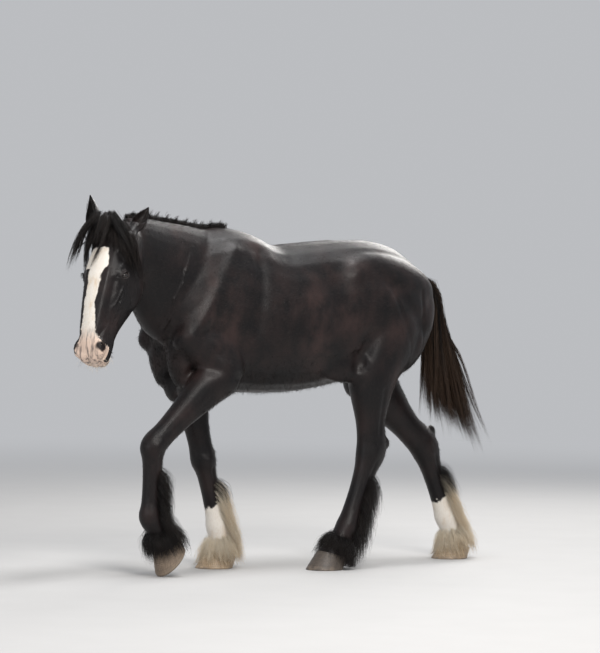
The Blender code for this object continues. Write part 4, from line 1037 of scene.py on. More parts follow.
def mane_paths(node, count):
    """Paths of the mane: most of it falls to the far side, and short hair stands at the near side.

    Each path is its control points and the way that it faces.
    """
    rng = random.Random(MANE_SEED)
    crest = smooth_rows(NECK, 8)
    paths = []
    for k in range(count):
        at = np.interp(k / (count - 1), (0, 1), MANE_ROWS)
        index = int(at)
        after = crest[min(index + 1, len(crest) - 1)]
        along = Vector(after[:3] - crest[index - 1][:3]).normalized()
        above = along.cross(Vector((0, -1, 0))).normalized()
        row = crest[index] + (after - crest[index]) * (at - index)
        hit, place, normal, _ = node.ray_cast(Vector(row[:3]), above)
        far = k % 3 != 0
        fade = math.sin(math.pi * (0.12 + 0.76 * k / (count - 1))) ** 0.5
        length = (MANE_FAR_LENGTH if far else MANE_NEAR_LENGTH) * rng.uniform(0.8, 1.15) * fade
        if not hit:
            continue
        side = Vector((0, 1 if far else -1, 0))
        root = place + Vector((0, 0.006 + 0.012 * rng.random(), 0))
        if not far:
            controls = [
                root - normal * 0.016,
                root + normal * length * 0.40,
                root + normal * length * 0.75 + side * length * 0.10 - along * length * 0.10,
                root + normal * length * 0.95 + side * length * 0.32 - along * length * 0.25,
            ]
        else:
            controls = [root - normal * 0.016, root + normal * 0.016 + side * 0.004]
            for step in (0.35, 0.7, 1.0):
                point = root + side * length * step * 0.62 - normal * length * step * step * 0.62
                point -= along * length * step * 0.16
                controls.append(clear_of(node, point, 0.010 - 0.003 * step))
        paths.append((controls, (side + normal * 0.6).normalized()))
    return paths


def forelock_paths(head, count):
    """Paths of the forelock, which parts between the ears and falls over the brow and both temples."""
    rng = random.Random(FORELOCK_SEED)
    paths = []
    for k in range(count):
        across = 2 * (k + 0.5) / count - 1
        wide = abs(across)
        length = 0.105 + 0.185 * wide**0.8 + 0.03 * rng.random()
        stray = 0.022 * wide if across < 0 else 0.0
        controls = []
        for step in (0.0, 0.12, 0.4, 0.7, 1.0):
            spread = across * (0.050 + 0.094 * math.sin(step * 1.35))
            point = on_head(0.022 + length * step, 0.09 - 0.05 * wide - 0.15 * wide * wide * step, spread)
            eye = eye_centre(math.copysign(1, across))
            if (point - eye).length < EYE_CLEARANCE:
                point = eye + (point - eye - FACE_OUT * 0.02).normalized() * EYE_CLEARANCE
            _, place, normal, _ = head.closest_point_on_mesh(point)
            lift = 0.004 + 0.014 * math.sin(math.pi * min(step, 0.8)) + stray * step + 0.003 * (k % 3)
            lift += FORELOCK_RISE * math.exp(-((step - 0.12) / 0.20) ** 2)
            if step == 0:
                lift = -0.012 - 0.001 * (k % 3)
            controls.append(place + normal * lift)
        paths.append((controls, FACE_OUT))
    return paths


def tail_paths(count, seed):
    """Paths of the tail's hair, from all round the dock down to a fan of tips behind the stride.

    Each path is its control points and the way that it faces.
    """
    rng = random.Random(seed)
    core = smooth_rows(DOCK, 6)
    paths = []
    for k in range(count):
        level = (k + 0.5) / count
        fan = (k * GOLDEN) % 1
        turn = (k * GOLDEN_REST * 2.7) % 1
        row = core[int(np.interp(level, (0, 1), TAIL_ROWS))]
        centre = Vector(row[:3])
        angle = math.radians(-100 + 200 * fan)
        out = Vector((math.sin(angle) * 0.85 + 0.15, (turn - 0.5) * 1.9, 0.05)).normalized()
        root = centre + out * row[4] * 0.9
        depth = (turn - 0.5) * 2
        end = Vector((
            TAIL_FALL_X + TAIL_FAN * fan + rng.uniform(-0.02, 0.02),
            -0.02 - 0.05 * fan + 0.090 * depth,
            TAIL_TIP_LEFT + (TAIL_TIP_RIGHT - TAIL_TIP_LEFT) * fan + rng.uniform(-0.03, 0.05),
        ))
        middle = Vector((
            TAIL_FALL_X + 0.012 + TAIL_FAN * 0.44 * fan,
            -0.01 - 0.02 * fan + 0.075 * depth,
            1.02 + 0.02 * rng.random(),
        ))
        shoulder = Vector((
            max(root.x + out.x * 0.018, TAIL_FALL_X + 0.02),
            root.y + out.y * 0.022,
            root.z - 0.05,
        ))
        upper = shoulder.lerp(middle, 0.5)
        lower = middle.lerp(end, 0.55) + Vector((-0.012 * fan, 0, 0))
        controls = [centre.lerp(root, 0.35), shoulder, upper, middle, lower, end]
        paths.append((controls, out))
    return paths


def points_of(obj):
    """The places of a mesh's vertices as rows of numbers."""
    return rows_of(obj.data.vertices, "co", 3)


def normals_of(obj):
    return rows_of(obj.data.vertex_normals, "vector", 3)


def put_points(obj, points):
    obj.data.vertices.foreach_set("co", points.ravel())
    obj.data.update()


def head_places(points):
    """Rows of (down the face, out of the face, to the left) for places in the world."""
    away = np.asarray(points) - np.array(POLL)
    axes = np.array([FACE_DOWN / HEAD_STRETCH, FACE_OUT, FACE_LEFT])
    return away @ axes.T


def ramp(values, start, end):
    """0 at start and before, 1 at end and past it, with soft ends."""
    share = np.clip((values - start) / (end - start), 0, 1)
    return share * share * (3 - 2 * share)


def ripple(points, size, seed):
    """A smooth random field over places, about -1 to 1, whose waves are about the size given."""
    rng = np.random.default_rng(seed)
    total = np.zeros(len(points))
    for _ in range(9):
        wave = rng.normal(size=3)
        wave *= 2 * math.pi / (np.linalg.norm(wave) * size * rng.uniform(0.6, 1.6))
        total += np.sin(points @ wave + rng.uniform(0, 2 * math.pi))
    return total / 3.2


def soften(obj, weights, iterations):
    """Smooths a mesh where the weights are high."""
    group = obj.vertex_groups.new(name="soft")
    levels = np.round(weights * 10).astype(int)
    for level in range(1, 11):
        chosen = np.nonzero(levels == level)[0]
        if len(chosen):
            group.add(chosen.tolist(), level / 10, "REPLACE")
    smooth = obj.modifiers.new("soften", "SMOOTH")
    smooth.factor = 0.5
    smooth.iterations = iterations
    smooth.vertex_group = group.name
    apply_modifiers(obj)
    obj.vertex_groups.clear()


def refine(obj, inside):
    """Splits the faces whose middles lie in a region, which inside finds from rows of places."""
    mesh = bmesh.new()
    mesh.from_mesh(obj.data)
    mesh.faces.ensure_lookup_table()
    middles = np.array([face.calc_center_median() for face in mesh.faces])
    edges = set()
    for index in np.nonzero(inside(middles))[0]:
        edges.update(mesh.faces[index].edges)
    chosen = sorted(edges, key=lambda edge: edge.index)
    bmesh.ops.subdivide_edges(mesh, edges=chosen, cuts=1, use_grid_fill=True)
    mesh.to_mesh(obj.data)
    mesh.free()


def near_eyes(points):
    """How far each place is from the nearer eye."""
    away = [np.linalg.norm(points - np.array(eye_centre(side)), axis=1) for side in (-1, 1)]
    return np.minimum(*away)


def on_face(points):
    """Whether places belong to the head rather than the neck."""
    along, out, _ = head_places(points).T
    return (along > FACE_TOP) & (out > FACE_BACK) & (points[:, 0] < FACE_REAR)


def fine_face(points):
    """The parts of the face that get the finest mesh."""
    along, out, _ = head_places(points).T
    muzzle = (along > FINE_MUZZLE) & (out > FINE_MUZZLE_BACK)
    return on_face(points) & (muzzle | (near_eyes(points) < FINE_EYE))


def face_relief(side):
    """Bones, veins and folds of one side of the face, finer than the solids have them."""
    along, out, left = EYE_PLACE
    rows = list(FACE_RELIEF)
    for step in range(3):
        lift = 0.026 + 0.007 * step
        start = (along - 0.030 - 0.004 * step, out + lift * 0.55, left + 0.012)
        end = (along + 0.022, out + lift, left + 0.004 - 0.004 * step)
        rows.append((start, end, 0.0032, -0.0024))
    for step in range(2):
        drop = 0.025 + 0.008 * step
        start = (along - 0.020, out - drop, left + 0.014)
        end = (along + 0.030, out - drop * 0.6, left + 0.006)
        rows.append((start, end, 0.0034, -0.0022))
    return [
        (on_head(a, b, side * c), on_head(d, e, side * f), radius, height)
        for (a, b, c), (d, e, f), radius, height in rows
    ]


def leg_relief(leg, hind):
    """Tendons, joints and muscle edges of one leg."""
    side = math.copysign(1, leg["fetlock"][1])
    lower = Vector(leg["hock" if hind else "knee"])
    upper = Vector(leg["stifle" if hind else "elbow"])
    fetlock = Vector(leg["fetlock"])
    down = (fetlock - lower).normalized()
    back = backwards(down)
    strokes = []
    for face in (-1, 1):
        wide = Vector((0, face * 0.050, 0))
        tendon = (lower.lerp(fetlock, 0.15) + wide + back * 0.018, fetlock + wide + back * 0.026)
        front_end = lower.lerp(fetlock, 0.8) + wide - back * 0.020
        front = (lower.lerp(fetlock, 0.12) + wide - back * 0.022, front_end)
        joint = (lower + wide * 1.25, lower + wide * 1.25 + down * 0.03)
        hollow = (lower + wide * 1.2 - down * 0.045 - back * 0.02, lower + wide * 1.2 - down * 0.04)
        strokes += [
            (*tendon, 0.010, -0.0050),
            (*front, 0.011, -0.0022),
            (*joint, 0.020, 0.0040),
            (*hollow, 0.014, -0.0030),
        ]
    thigh = upper.lerp(lower, 0.25) + Vector((0, side * 0.085, 0))
    calf = upper.lerp(lower, 0.80) + Vector((0, side * 0.062, 0))
    rear = backwards(lower - upper)
    strokes += [
        (thigh + rear * 0.030, calf + rear * 0.020, 0.013, -0.0050),
        (thigh - rear * 0.035, calf - rear * 0.024, 0.012, -0.0035),
    ]
    return strokes


def fine_relief(side):
    """The crease ahead of the shoulder, ribs, veins, folds and muscle edges of one side of the body."""
    strokes = []
    ahead = Vector((0.016, -side * 0.002, 0.0))
    for upper, lower in zip(SHOULDER_CREASE, SHOULDER_CREASE[1:]):
        start = Vector(flip(upper, side))
        end = Vector(flip(lower, side))
        strokes.append((start, end, 0.0085, 0.0052))
        strokes.append((start - ahead, end - ahead, 0.013, -0.0024))
    strokes.append(((-0.985, side * 0.105 - 0.10, 1.470), (-0.790, side * 0.165, 1.200), 0.030, -0.0050))
    strokes += mirrored(FINE_RELIEF, side)
    for rib in range(RIBS):
        x = -0.300 + 0.052 * rib
        strokes.append(((x, side * 0.290, 1.380), (x + 0.045, side * 0.285, 1.120), 0.013, 0.0018))
    return strokes


def ear_mesh(name):
    """An ear as fine as the skin, with its root sunk into the head."""
    obj = ear(name)
    base, _, axis, _ = ear_places(name)
    points = points_of(obj)
    low = (points - np.array(base)) @ np.array(axis) < 0.004
    points[low] -= np.array(axis) * EAR_SEAT_DEPTH
    put_points(obj, points)
    subdivide = obj.modifiers.new("finer", "SUBSURF")
    subdivide.levels = 1
    subdivide.render_levels = 1
    apply_modifiers(obj)
    return obj


def make_skin():
    """One closed skin for head, neck, trunk, legs, dock and ears."""
    skin = join(body_shapes() + head_shapes(), "horse_skin")
    remesh = skin.modifiers.new("skin", "REMESH")
    remesh.mode = "VOXEL"
    remesh.voxel_size = SKIN_VOXEL
    smooth = skin.modifiers.new("soften", "SMOOTH")
    smooth.iterations = round((HEAD_SOFTNESS / SKIN_VOXEL) ** 2)
    apply_modifiers(skin)
    points = points_of(skin)
    behind = (points - np.array(HEAD_CUT)) @ np.array(FACE_OUT)
    body = ramp(behind, 0.04, -0.06)
    body[points[:, 0] > -0.95] = 1
    soften(skin, body, round((BODY_SOFTNESS**2 - HEAD_SOFTNESS**2) / SKIN_VOXEL**2))
    strokes = mirrored(RELIEF, -1) + mirrored(RELIEF, 1) + list(MIDDLE_RELIEF)
    sculpt(skin, strokes + fine_relief(-1) + fine_relief(1))
    for name, leg in LEGS.items():
        sculpt(skin, leg_relief(leg, name.startswith("hind")))
    refine(skin, on_face)
    refine(skin, fine_face)
    soften(skin, on_face(points_of(skin)).astype(float), 3)
    sculpt(skin, face_relief(-1) + face_relief(1))
    additions = []
    for side in (-1, 1):
        additions += [eyelid(side, *lid) for lid in LIDS]
    additions += [ear_root(name) for name in EARS]
    boolean(skin, additions, "UNION")
    points = points_of(skin)
    roots = np.ones(len(points))
    for name in EARS:
        base = ear_places(name)[0]
        roots = np.minimum(roots, np.linalg.norm(points - np.array(base), axis=1))
    soften(skin, np.maximum(ramp(near_eyes(points), 0.050, 0.034), ramp(roots, 0.06, 0.04)), 6)
    boolean(skin, [ear_mesh(name) for name in EARS], "UNION")
    cutters = [mouth_cutter()]
    for side in (-1, 1):
        cutters += [nostril_cutter(side), eye_opening(side), ball(eye_centre(side), (EYE_RADIUS,) * 3)]
    boolean(skin, cutters, "DIFFERENCE")
    skin = keep_largest(skin)
    points = points_of(skin)
    put_points(skin, points - normals_of(skin) * COAT_DEPTH * ramp(near_eyes(points), 0.030, 0.045)[:, None])
    skin.data.shade_smooth()
    return skin


def markings(points):
    """White, pink and brown shares of the coat at places, for skin and hair alike; the brown holds random
    tone and a painted sheen on the near shoulder, ribs and haunch.
    """
    points = np.asarray(points)
    along, out, left = head_places(points).T
    jitter = 0.004 * ripple(points, 0.03, 3) + 0.0015 * ripple(points, 0.008, 4)
    rows = np.array(BLAZE)
    far = np.interp(along, rows[:, 0], rows[:, 1])
    near = np.interp(along, rows[:, 0], rows[:, 2])
    across = np.minimum(left - far, near - left) + jitter
    front = on_face(points) & (out > -0.060) & (along + jitter > 0.187) & (points[:, 0] < -1.10)
    white = ramp(across, -0.002, 0.002) * front
    chin = on_face(points) & (along > 0.640) & (out < -0.045)
    white = np.maximum(white, ramp(along + jitter, 0.655, 0.665) * chin * (np.abs(left) < 0.060))
    pink = white * ramp(along, 0.560, 0.660)
    for name, height in STOCKING_HEIGHTS.items():
        leg = LEGS[name]
        lower = np.array(leg["hock"] if "hock" in leg else leg["knee"])
        fetlock = np.array(leg["fetlock"])
        away = points - fetlock
        mine = (np.abs(away[:, 1]) < 0.16) & (np.abs(away[:, 0]) < 0.26) & (points[:, 2] < lower[2])
        ahead = fetlock[0] - points[:, 0] + (points[:, 2] - fetlock[2]) * 0.3
        edge = height + 0.030 * np.cos(ahead * 30) + 3 * jitter
        white = np.maximum(white, ramp(points[:, 2], edge + 0.006, edge - 0.006) * mine)
    # Painted brown sheen where light falls on the near shoulder, ribs and haunch, on top of random brown
    # tone
    sheen_patches = 0
    for middle, size in PAINTED_SHEEN_PATCHES:
        sheen_patches = sheen_patches + np.exp(-(((points - middle) / size) ** 2).sum(1))
    brown = np.clip(0.30 + 0.5 * sheen_patches + 0.25 * ripple(points, 0.25, 5), 0, 1) * (1 - white)
    return np.stack([white, pink, brown, np.ones(len(points))], 1)


def put_colours(obj, name, values):
    attribute = obj.data.attributes.new(name, "FLOAT_COLOR", "POINT")
    attribute.data.foreach_set("color", np.asarray(values, np.float32).ravel())


def new_material(name):
    material = bpy.data.materials.new(name)
    material.use_nodes = True
    tree = material.node_tree
    return material, tree, tree.nodes["Principled BSDF"]


def feed(tree, node, values):
    """Sets a node's inputs to numbers or colours, or links them to sockets."""
    for key, value in values.items():
        if isinstance(value, bpy.types.NodeSocket):
            tree.links.new(value, node.inputs[key])
        else:
            node.inputs[key].default_value = value


def add_node(tree, kind, values, **settings):
    node = tree.nodes.new(kind)
    for key, value in settings.items():
        setattr(node, key, value)
    feed(tree, node, values)
    return node


def noise(tree, scale, detail):
    """Noise over the object's places, squeezed by a scale on each axis, so that it is stretched."""
    places = add_node(tree, "ShaderNodeTexCoord", {}).outputs["Object"]
    mapping = add_node(tree, "ShaderNodeMapping", {"Scale": scale, "Vector": places})
    values = {"Scale": 1.0, "Detail": detail, "Roughness": 0.55, "Vector": mapping.outputs["Vector"]}
    return add_node(tree, "ShaderNodeTexNoise", values).outputs["Fac"]


def spread(tree, value, low, high, to_low=0.0, to_high=1.0):
    values = {"Value": value, "From Min": low, "From Max": high, "To Min": to_low, "To Max": to_high}
    return add_node(tree, "ShaderNodeMapRange", values, interpolation_type="SMOOTHSTEP").outputs["Result"]


def blend(tree, share, first, second):
    """Mixes two colours, each a socket or four numbers."""
    return add_node(tree, "ShaderNodeMix", {0: share, 6: first, 7: second}, data_type="RGBA").outputs[2]


def sums(tree, operation, first, second=0):
    return add_node(tree, "ShaderNodeMath", {0: first, 1: second}, operation=operation).outputs[0]


def channels(tree, name):
    attribute = add_node(tree, "ShaderNodeAttribute", {}, attribute_name=name)
    split = add_node(tree, "ShaderNodeSeparateColor", {"Color": attribute.outputs["Color"]})
    return split.outputs[0], split.outputs[1], split.outputs[2]


def bumps(tree, heights):
    """The normal that a chain of bump nodes gives for (height, distance, strength)."""
    normal = {}
    for height, distance, strength in heights:
        values = {"Distance": distance, "Strength": strength, "Height": height, **normal}
        normal = {"Normal": add_node(tree, "ShaderNodeBump", values).outputs["Normal"]}
    return normal["Normal"]


def coat_material():
    """Short, glossy hair that lies flat: along the trunk, and down the legs and the face, with a painted
    brown sheen on the near shoulder, ribs and haunch.
    """
    material, tree, shader = new_material("short_coat")
    white, pink, brown = channels(tree, "marks")
    legs, _, bare = channels(tree, "lie")
    along = noise(tree, (60, 420, 300), 4)
    down = noise(tree, (420, 420, 60), 4)
    grain = add_node(tree, "ShaderNodeMix", {0: legs, 2: along, 3: down}, data_type="FLOAT").outputs[0]
    # Brown from random tone and from the painted sheen patches, mixed over the black
    brown_and_sheen = sums(tree, "MULTIPLY", brown, spread(tree, noise(tree, (9, 9, 7), 4), 0.3, 0.75))
    dark = blend(tree, brown_and_sheen, COAT_BLACK, COAT_BROWN_AND_SHEEN)
    dark = blend(tree, spread(tree, grain, 0.45, 0.75, 0, 0.5), dark, BLACK_GRAIN)
    stain = spread(tree, noise(tree, (22, 22, 9), 4), 0.50, 0.85)
    pale = blend(tree, stain, COAT_WHITE, WHITE_STAIN)
    pale = blend(tree, spread(tree, grain, 0.40, 0.70, 0, 0.35), pale, WHITE_GRAIN)
    freckles = spread(tree, noise(tree, (85, 85, 11), 4), 0.47, 0.66)
    pale = blend(tree, pink, pale, blend(tree, freckles, SKIN_PINK, MUZZLE_GREY))
    colour = blend(tree, bare, blend(tree, white, dark, pale), BARE_SKIN)
    lids = sums(tree, "MULTIPLY", bare, 0.20)
    rough = sums(tree, "ADD", spread(tree, grain, 0.25, 0.75, 0.31, 0.47), lids)
    normal = bumps(tree, [(noise(tree, (28, 28, 28), 3), 0.004, 0.18), (grain, 0.0016, 0.55)])
    values = {"Base Color": colour, "Roughness": rough, "Specular IOR Level": GLOSS, "Normal": normal}
    feed(tree, shader, values)
    return material


def hair_material(name, dark, light, tip):
    """Long hair: each lock has its own tone, and its tips can fade."""
    material, tree, shader = new_material(name)
    tone, along, _ = channels(tree, "hair")
    white = channels(tree, "marks")[0]
    colour = blend(tree, spread(tree, tone, 0.40, 1.0), dark, light)
    colour = blend(tree, spread(tree, along, 0.35, 1.0, 0, 0.8), colour, tip)
    stain = sums(tree, "MULTIPLY", spread(tree, along, 0.15, 1.0), spread(tree, tone, 0.2, 0.9))
    pale = blend(tree, stain, *FEATHER_PALE)
    colour = blend(tree, white, colour, pale)
    fine = noise(tree, (500, 500, 90), 2)
    rough = spread(tree, fine, 0.2, 0.8, 0.34, 0.54)
    normal = bumps(tree, [(fine, 0.0006, 0.5)])
    values = {"Base Color": colour, "Roughness": rough, "Specular IOR Level": GLOSS, "Normal": normal}
    feed(tree, shader, values)
    return material


def eye_material():
    """A dark brown iris with a lying oval pupil, and a darker rim where the white would start."""
    material, tree, shader = new_material("wet_eye")
    across, up, _ = channels(tree, "gaze")
    x = sums(tree, "SUBTRACT", across, 0.5)
    y = sums(tree, "SUBTRACT", up, 0.5)
    squares = []
    for high in (y, sums(tree, "MULTIPLY", y, 1.9)):
        square = sums(tree, "ADD", sums(tree, "MULTIPLY", x, x), sums(tree, "MULTIPLY", high, high))
        squares.append(sums(tree, "SQRT", square))
    radius, oval = squares
    angle = sums(tree, "MULTIPLY", sums(tree, "ARCTAN2", y, x), 9.0)
    place = add_node(tree, "ShaderNodeCombineXYZ", {0: angle, 1: sums(tree, "MULTIPLY", radius, 6.0)})
    values = {"Vector": place.outputs[0], "Scale": 1.5}
    rays = add_node(tree, "ShaderNodeTexNoise", values, noise_dimensions="2D").outputs["Fac"]
    iris = blend(tree, rays, *IRIS)
    iris = blend(tree, spread(tree, radius, 0.20, 0.34), iris, IRIS_EDGE)
    iris = blend(tree, spread(tree, oval, 0.15, 0.12), iris, PUPIL)
    colour = blend(tree, spread(tree, radius, 0.36, 0.44), iris, EYE_RIM)
    feed(tree, shader, {"Base Color": colour, "Roughness": 0.04, "IOR": 1.40})
    feed(tree, shader, {"Coat Weight": 0.8, "Coat Roughness": 0.02})
    return material


def horn_material(name, dark, light):
    """Hoof horn: rings round the wall and fine tubules down it."""
    material, tree, shader = new_material(name)
    level, sole, _ = channels(tree, "wall")
    values = {"W": level, "Scale": 26.0, "Detail": 2.0}
    rings = add_node(tree, "ShaderNodeTexNoise", values, noise_dimensions="1D").outputs["Fac"]
    streaks = noise(tree, (300, 300, 22), 3)
    colour = blend(tree, spread(tree, streaks, 0.30, 0.72), dark, light)
    shade = tuple(0.55 * c for c in dark[:3]) + (1,)
    colour = blend(tree, spread(tree, rings, 0.42, 0.62, 0, 0.5), colour, shade)
    dust = spread(tree, noise(tree, (40, 40, 40), 4), 0.35, 0.65)
    soil = sums(tree, "MULTIPLY", spread(tree, level, 0.35, 0.0), dust)
    colour = blend(tree, soil, colour, SOIL)
    colour = blend(tree, sole, colour, SOLE_HORN)
    rough = spread(tree, streaks, 0.2, 0.8, 0.40, 0.62)
    normal = bumps(tree, [(rings, 0.0014, 0.7), (streaks, 0.0006, 0.5)])
    feed(tree, shader, {"Base Color": colour, "Roughness": rough, "Normal": normal})
    return material


def lie_of(points):
    """Shares of leg, face and bare skin at places, for how the short coat is drawn."""
    face = on_face(points).astype(float)
    legs = np.maximum(ramp(points[:, 2], 1.05, 0.90), face)
    bare = ramp(near_eyes(points), 0.036, 0.028)
    along, out, left = NOSTRIL_PLACE
    for side in (-1, 1):
        place = np.array(on_head(along, out + 0.01, side * (left + 0.006)))
        bare = np.maximum(bare, ramp(np.linalg.norm(points - place, axis=1), 0.030, 0.022))
    return np.stack([legs, face, bare, np.ones(len(points))], 1)


def tree_of(points, corners):
    """A tree of triangles, to find the nearest place on them."""
    return BVHTree.FromPolygons(points.tolist(), corners.tolist(), all_triangles=True)


def bake_lookup(skin):
    """A thinned copy of the skin, unwrapped, as a tree of its triangles and their places on the unwrap."""
    copy = skin.copy()
    copy.data = skin.data.copy()
    bpy.context.scene.collection.objects.link(copy)
    thinner = copy.modifiers.new("thin", "DECIMATE")
    thinner.ratio = BAKE_RATIO
    flat = copy.modifiers.new("flat", "TRIANGULATE")
    flat.min_vertices = 4
    apply_modifiers(copy)
    bpy.ops.object.mode_set(mode="EDIT")
    bpy.ops.mesh.select_all(action="SELECT")
    bpy.ops.uv.smart_project(angle_limit=BAKE_ANGLE, island_margin=BAKE_MARGIN)
    bpy.ops.object.mode_set(mode="OBJECT")
    mesh = copy.data
    points = points_of(copy)
    corners = rows_of(mesh.loops, "vertex_index", 1, np.int32).reshape(-1, 3)
    places = rows_of(mesh.uv_layers.active.data, "uv", 2).reshape(-1, 3, 2)
    bpy.data.objects.remove(copy, do_unlink=True)
    return tree_of(points, corners), points, corners, places


def bake_places(lookup, roots):
    """Where roots lie on the unwrap of the skin."""
    tree, points, corners, places = lookup
    result = np.empty((len(roots), 2))
    for index, root in enumerate(roots):
        place, _, face, _ = tree.find_nearest(Vector(root))
        a, b, c = points[corners[face]]
        ab, ac, ap = b - a, c - a, np.array(place) - a
        d00, d01, d11 = ab @ ab, ab @ ac, ac @ ac
        d20, d21 = ap @ ab, ap @ ac
        whole = max(d00 * d11 - d01 * d01, 1e-18)
        v = (d11 * d20 - d01 * d21) / whole
        w = (d00 * d21 - d01 * d20) / whole
        result[index] = places[face].T @ (1 - v - w, v, w)
    return result


def strands(name, paths, widths, facings, tones, lookup, material, marked=0, thickness=0.4):
    """A mesh of flat tapered hairs, each three-sided, along rows of points, with one point's markings."""
    count, steps, _ = paths.shape
    tangents = np.gradient(paths, axis=1)
    tangents /= np.linalg.norm(tangents, axis=2, keepdims=True) + 1e-12
    across = np.cross(tangents, facings[:, None, :])
    across /= np.linalg.norm(across, axis=2, keepdims=True) + 1e-12
    out = np.cross(across, tangents)
    share = np.linspace(0, 1, steps)
    taper = np.minimum(1, 0.65 + 2 * share) * (1 - share) ** 0.6
    half = widths[:, None, None] / 2 * taper[None, :, None]
    ring = np.stack([paths + across * half, paths - across * half, paths + out * half * thickness * 2], 2)
    bodies = ring[:, :-1].reshape(count, -1, 3)
    points = np.concatenate([bodies, paths[:, -1:]], 1)
    each = points.shape[1]
    faces = [(2, 1, 0)]
    for step in range(steps - 2):
        for k in range(3):
            near, after = step * 3 + k, step * 3 + (k + 1) % 3
            faces += [(near, after, after + 3), (near, after + 3, near + 3)]
    last = (steps - 2) * 3
    faces += [(last + k, last + (k + 1) % 3, each - 1) for k in range(3)]
    faces = np.array(faces)
    triangles = (faces[None] + (np.arange(count) * each)[:, None, None]).reshape(-1, 3)
    mesh = bpy.data.meshes.new(name)
    mesh.vertices.add(count * each)
    mesh.vertices.foreach_set("co", points.astype(np.float32).ravel())
    mesh.loops.add(triangles.size)
    mesh.loops.foreach_set("vertex_index", triangles.astype(np.int32).ravel())
    mesh.polygons.add(len(triangles))
    mesh.polygons.foreach_set("loop_start", np.arange(len(triangles), dtype=np.int32) * 3)
    mesh.update(calc_edges=True)
    obj = add_object(name, mesh)
    levels = np.repeat(share[:-1], 3).tolist() + [1.0]
    hair = np.ones((count, each, 4))
    hair[:, :, 0] = tones[:, None]
    hair[:, :, 1] = levels
    put_colours(obj, "hair", hair)
    put_colours(obj, "marks", np.repeat(markings(paths[:, marked]), each, axis=0))
    around = np.array([(k % 3) / 2 for k in range(each - 1)] + [0.5])
    local = np.stack([around - 0.5, np.array(levels) - 0.5], 1) * BAKE_PATCH
    spots = bake_places(lookup, paths[:, 0])
    uv = (spots[:, None, :] + local[None]).reshape(-1, 2)
    layer = mesh.uv_layers.new(name="OFBake")
    layer.data.foreach_set("uv", uv[triangles.ravel()].astype(np.float32).ravel())
    mesh.shade_smooth()
    mesh.materials.append(material)
    return obj


def resample(paths, steps, ends):
    """The first part of each path, up to its end share, cut into so many points."""
    count, have, _ = paths.shape
    at = np.linspace(0, 1, steps)[None] * ends[:, None] * (have - 1)
    low = np.clip(np.floor(at).astype(int), 0, have - 2)
    part = (at - low)[..., None]
    rows = np.arange(count)[:, None]
    return paths[rows, low] * (1 - part) + paths[rows, low + 1] * part


def clumped(guides, each, rng, spreads, wave, shortest, points):
    """Hairs round guide paths: spreads are how far apart they are at the root, middle and tip."""
    many = np.repeat(guides, each, axis=0)
    count, steps, _ = many.shape
    t = np.linspace(0, 1, steps)
    size = np.interp(t, (0, 0.45, 1), spreads)
    offset = rng.normal(size=(count, 1, 3)) * size[None, :, None]
    phase = rng.uniform(0, 2 * math.pi, (count, 1, 3))
    turns = rng.uniform(3, 9, (count, 1, 3))
    sway = np.sin(phase + turns * t[None, :, None]) * wave * t[None, :, None]
    return resample(many + offset + sway, points, rng.uniform(shortest, 1, count))


def guides_from(paths, steps=14):
    """Rows of points along each path, and the way that each faces."""
    rows = np.array([[tuple(p) for p in curve_points(path[0], steps)] for path in paths])
    return rows, np.array([tuple(path[1]) for path in paths])


def push_out(paths, tree, height):
    """Moves points that lie in the skin out to a height above it, all but each path's first."""
    for path in paths:
        for index in range(1, len(path)):
            point = Vector(path[index])
            place, normal, _, _ = tree.find_nearest(point)
            if (point - place).dot(normal) < height:
                path[index] = place + normal * height
    return paths


def clear_of_feet(leg, paths):
    """Keeps each hair's points out of the hoof and above the floor."""
    low = np.nonzero(paths[:, :, 2].min(1) < FOOT_HEIGHT)[0]
    for row in low:
        for index in range(2, paths.shape[1]):
            paths[row, index] = clear_of_hoof(leg, Vector(paths[row, index]))
    return paths


def hair(name, paths, facings, each, widths, rng, lookup, material, slot, marked=0):
    """One piece of hair, whose hairs keep the facings of their guides."""
    count = len(paths)
    facing = np.repeat(facings, each, axis=0) + rng.normal(size=(count, 3)) * 0.35
    tones = np.clip(np.repeat(rng.random(len(facings)), each) * 0.6 + rng.random(count) * 0.4, 0, 1)
    piece = strands(name, paths, rng.uniform(*widths, count), facing, tones, lookup, material, marked)
    return piece


def lie_direction(points):
    """The way that the short coat lies: back along the trunk, down the legs and down the face."""
    legs = ramp(points[:, 2], 1.15, 0.95)
    flow = np.zeros((len(points), 3))
    flow[:, 0] = 1 - legs * 0.95
    flow[:, 2] = -0.45 - legs
    flow[on_face(points)] = np.array(FACE_DOWN) - 0.25 * np.array(FACE_OUT)
    return flow + 0.12 * np.stack([ripple(points, 0.12, seed) for seed in (11, 12, 13)], 1)


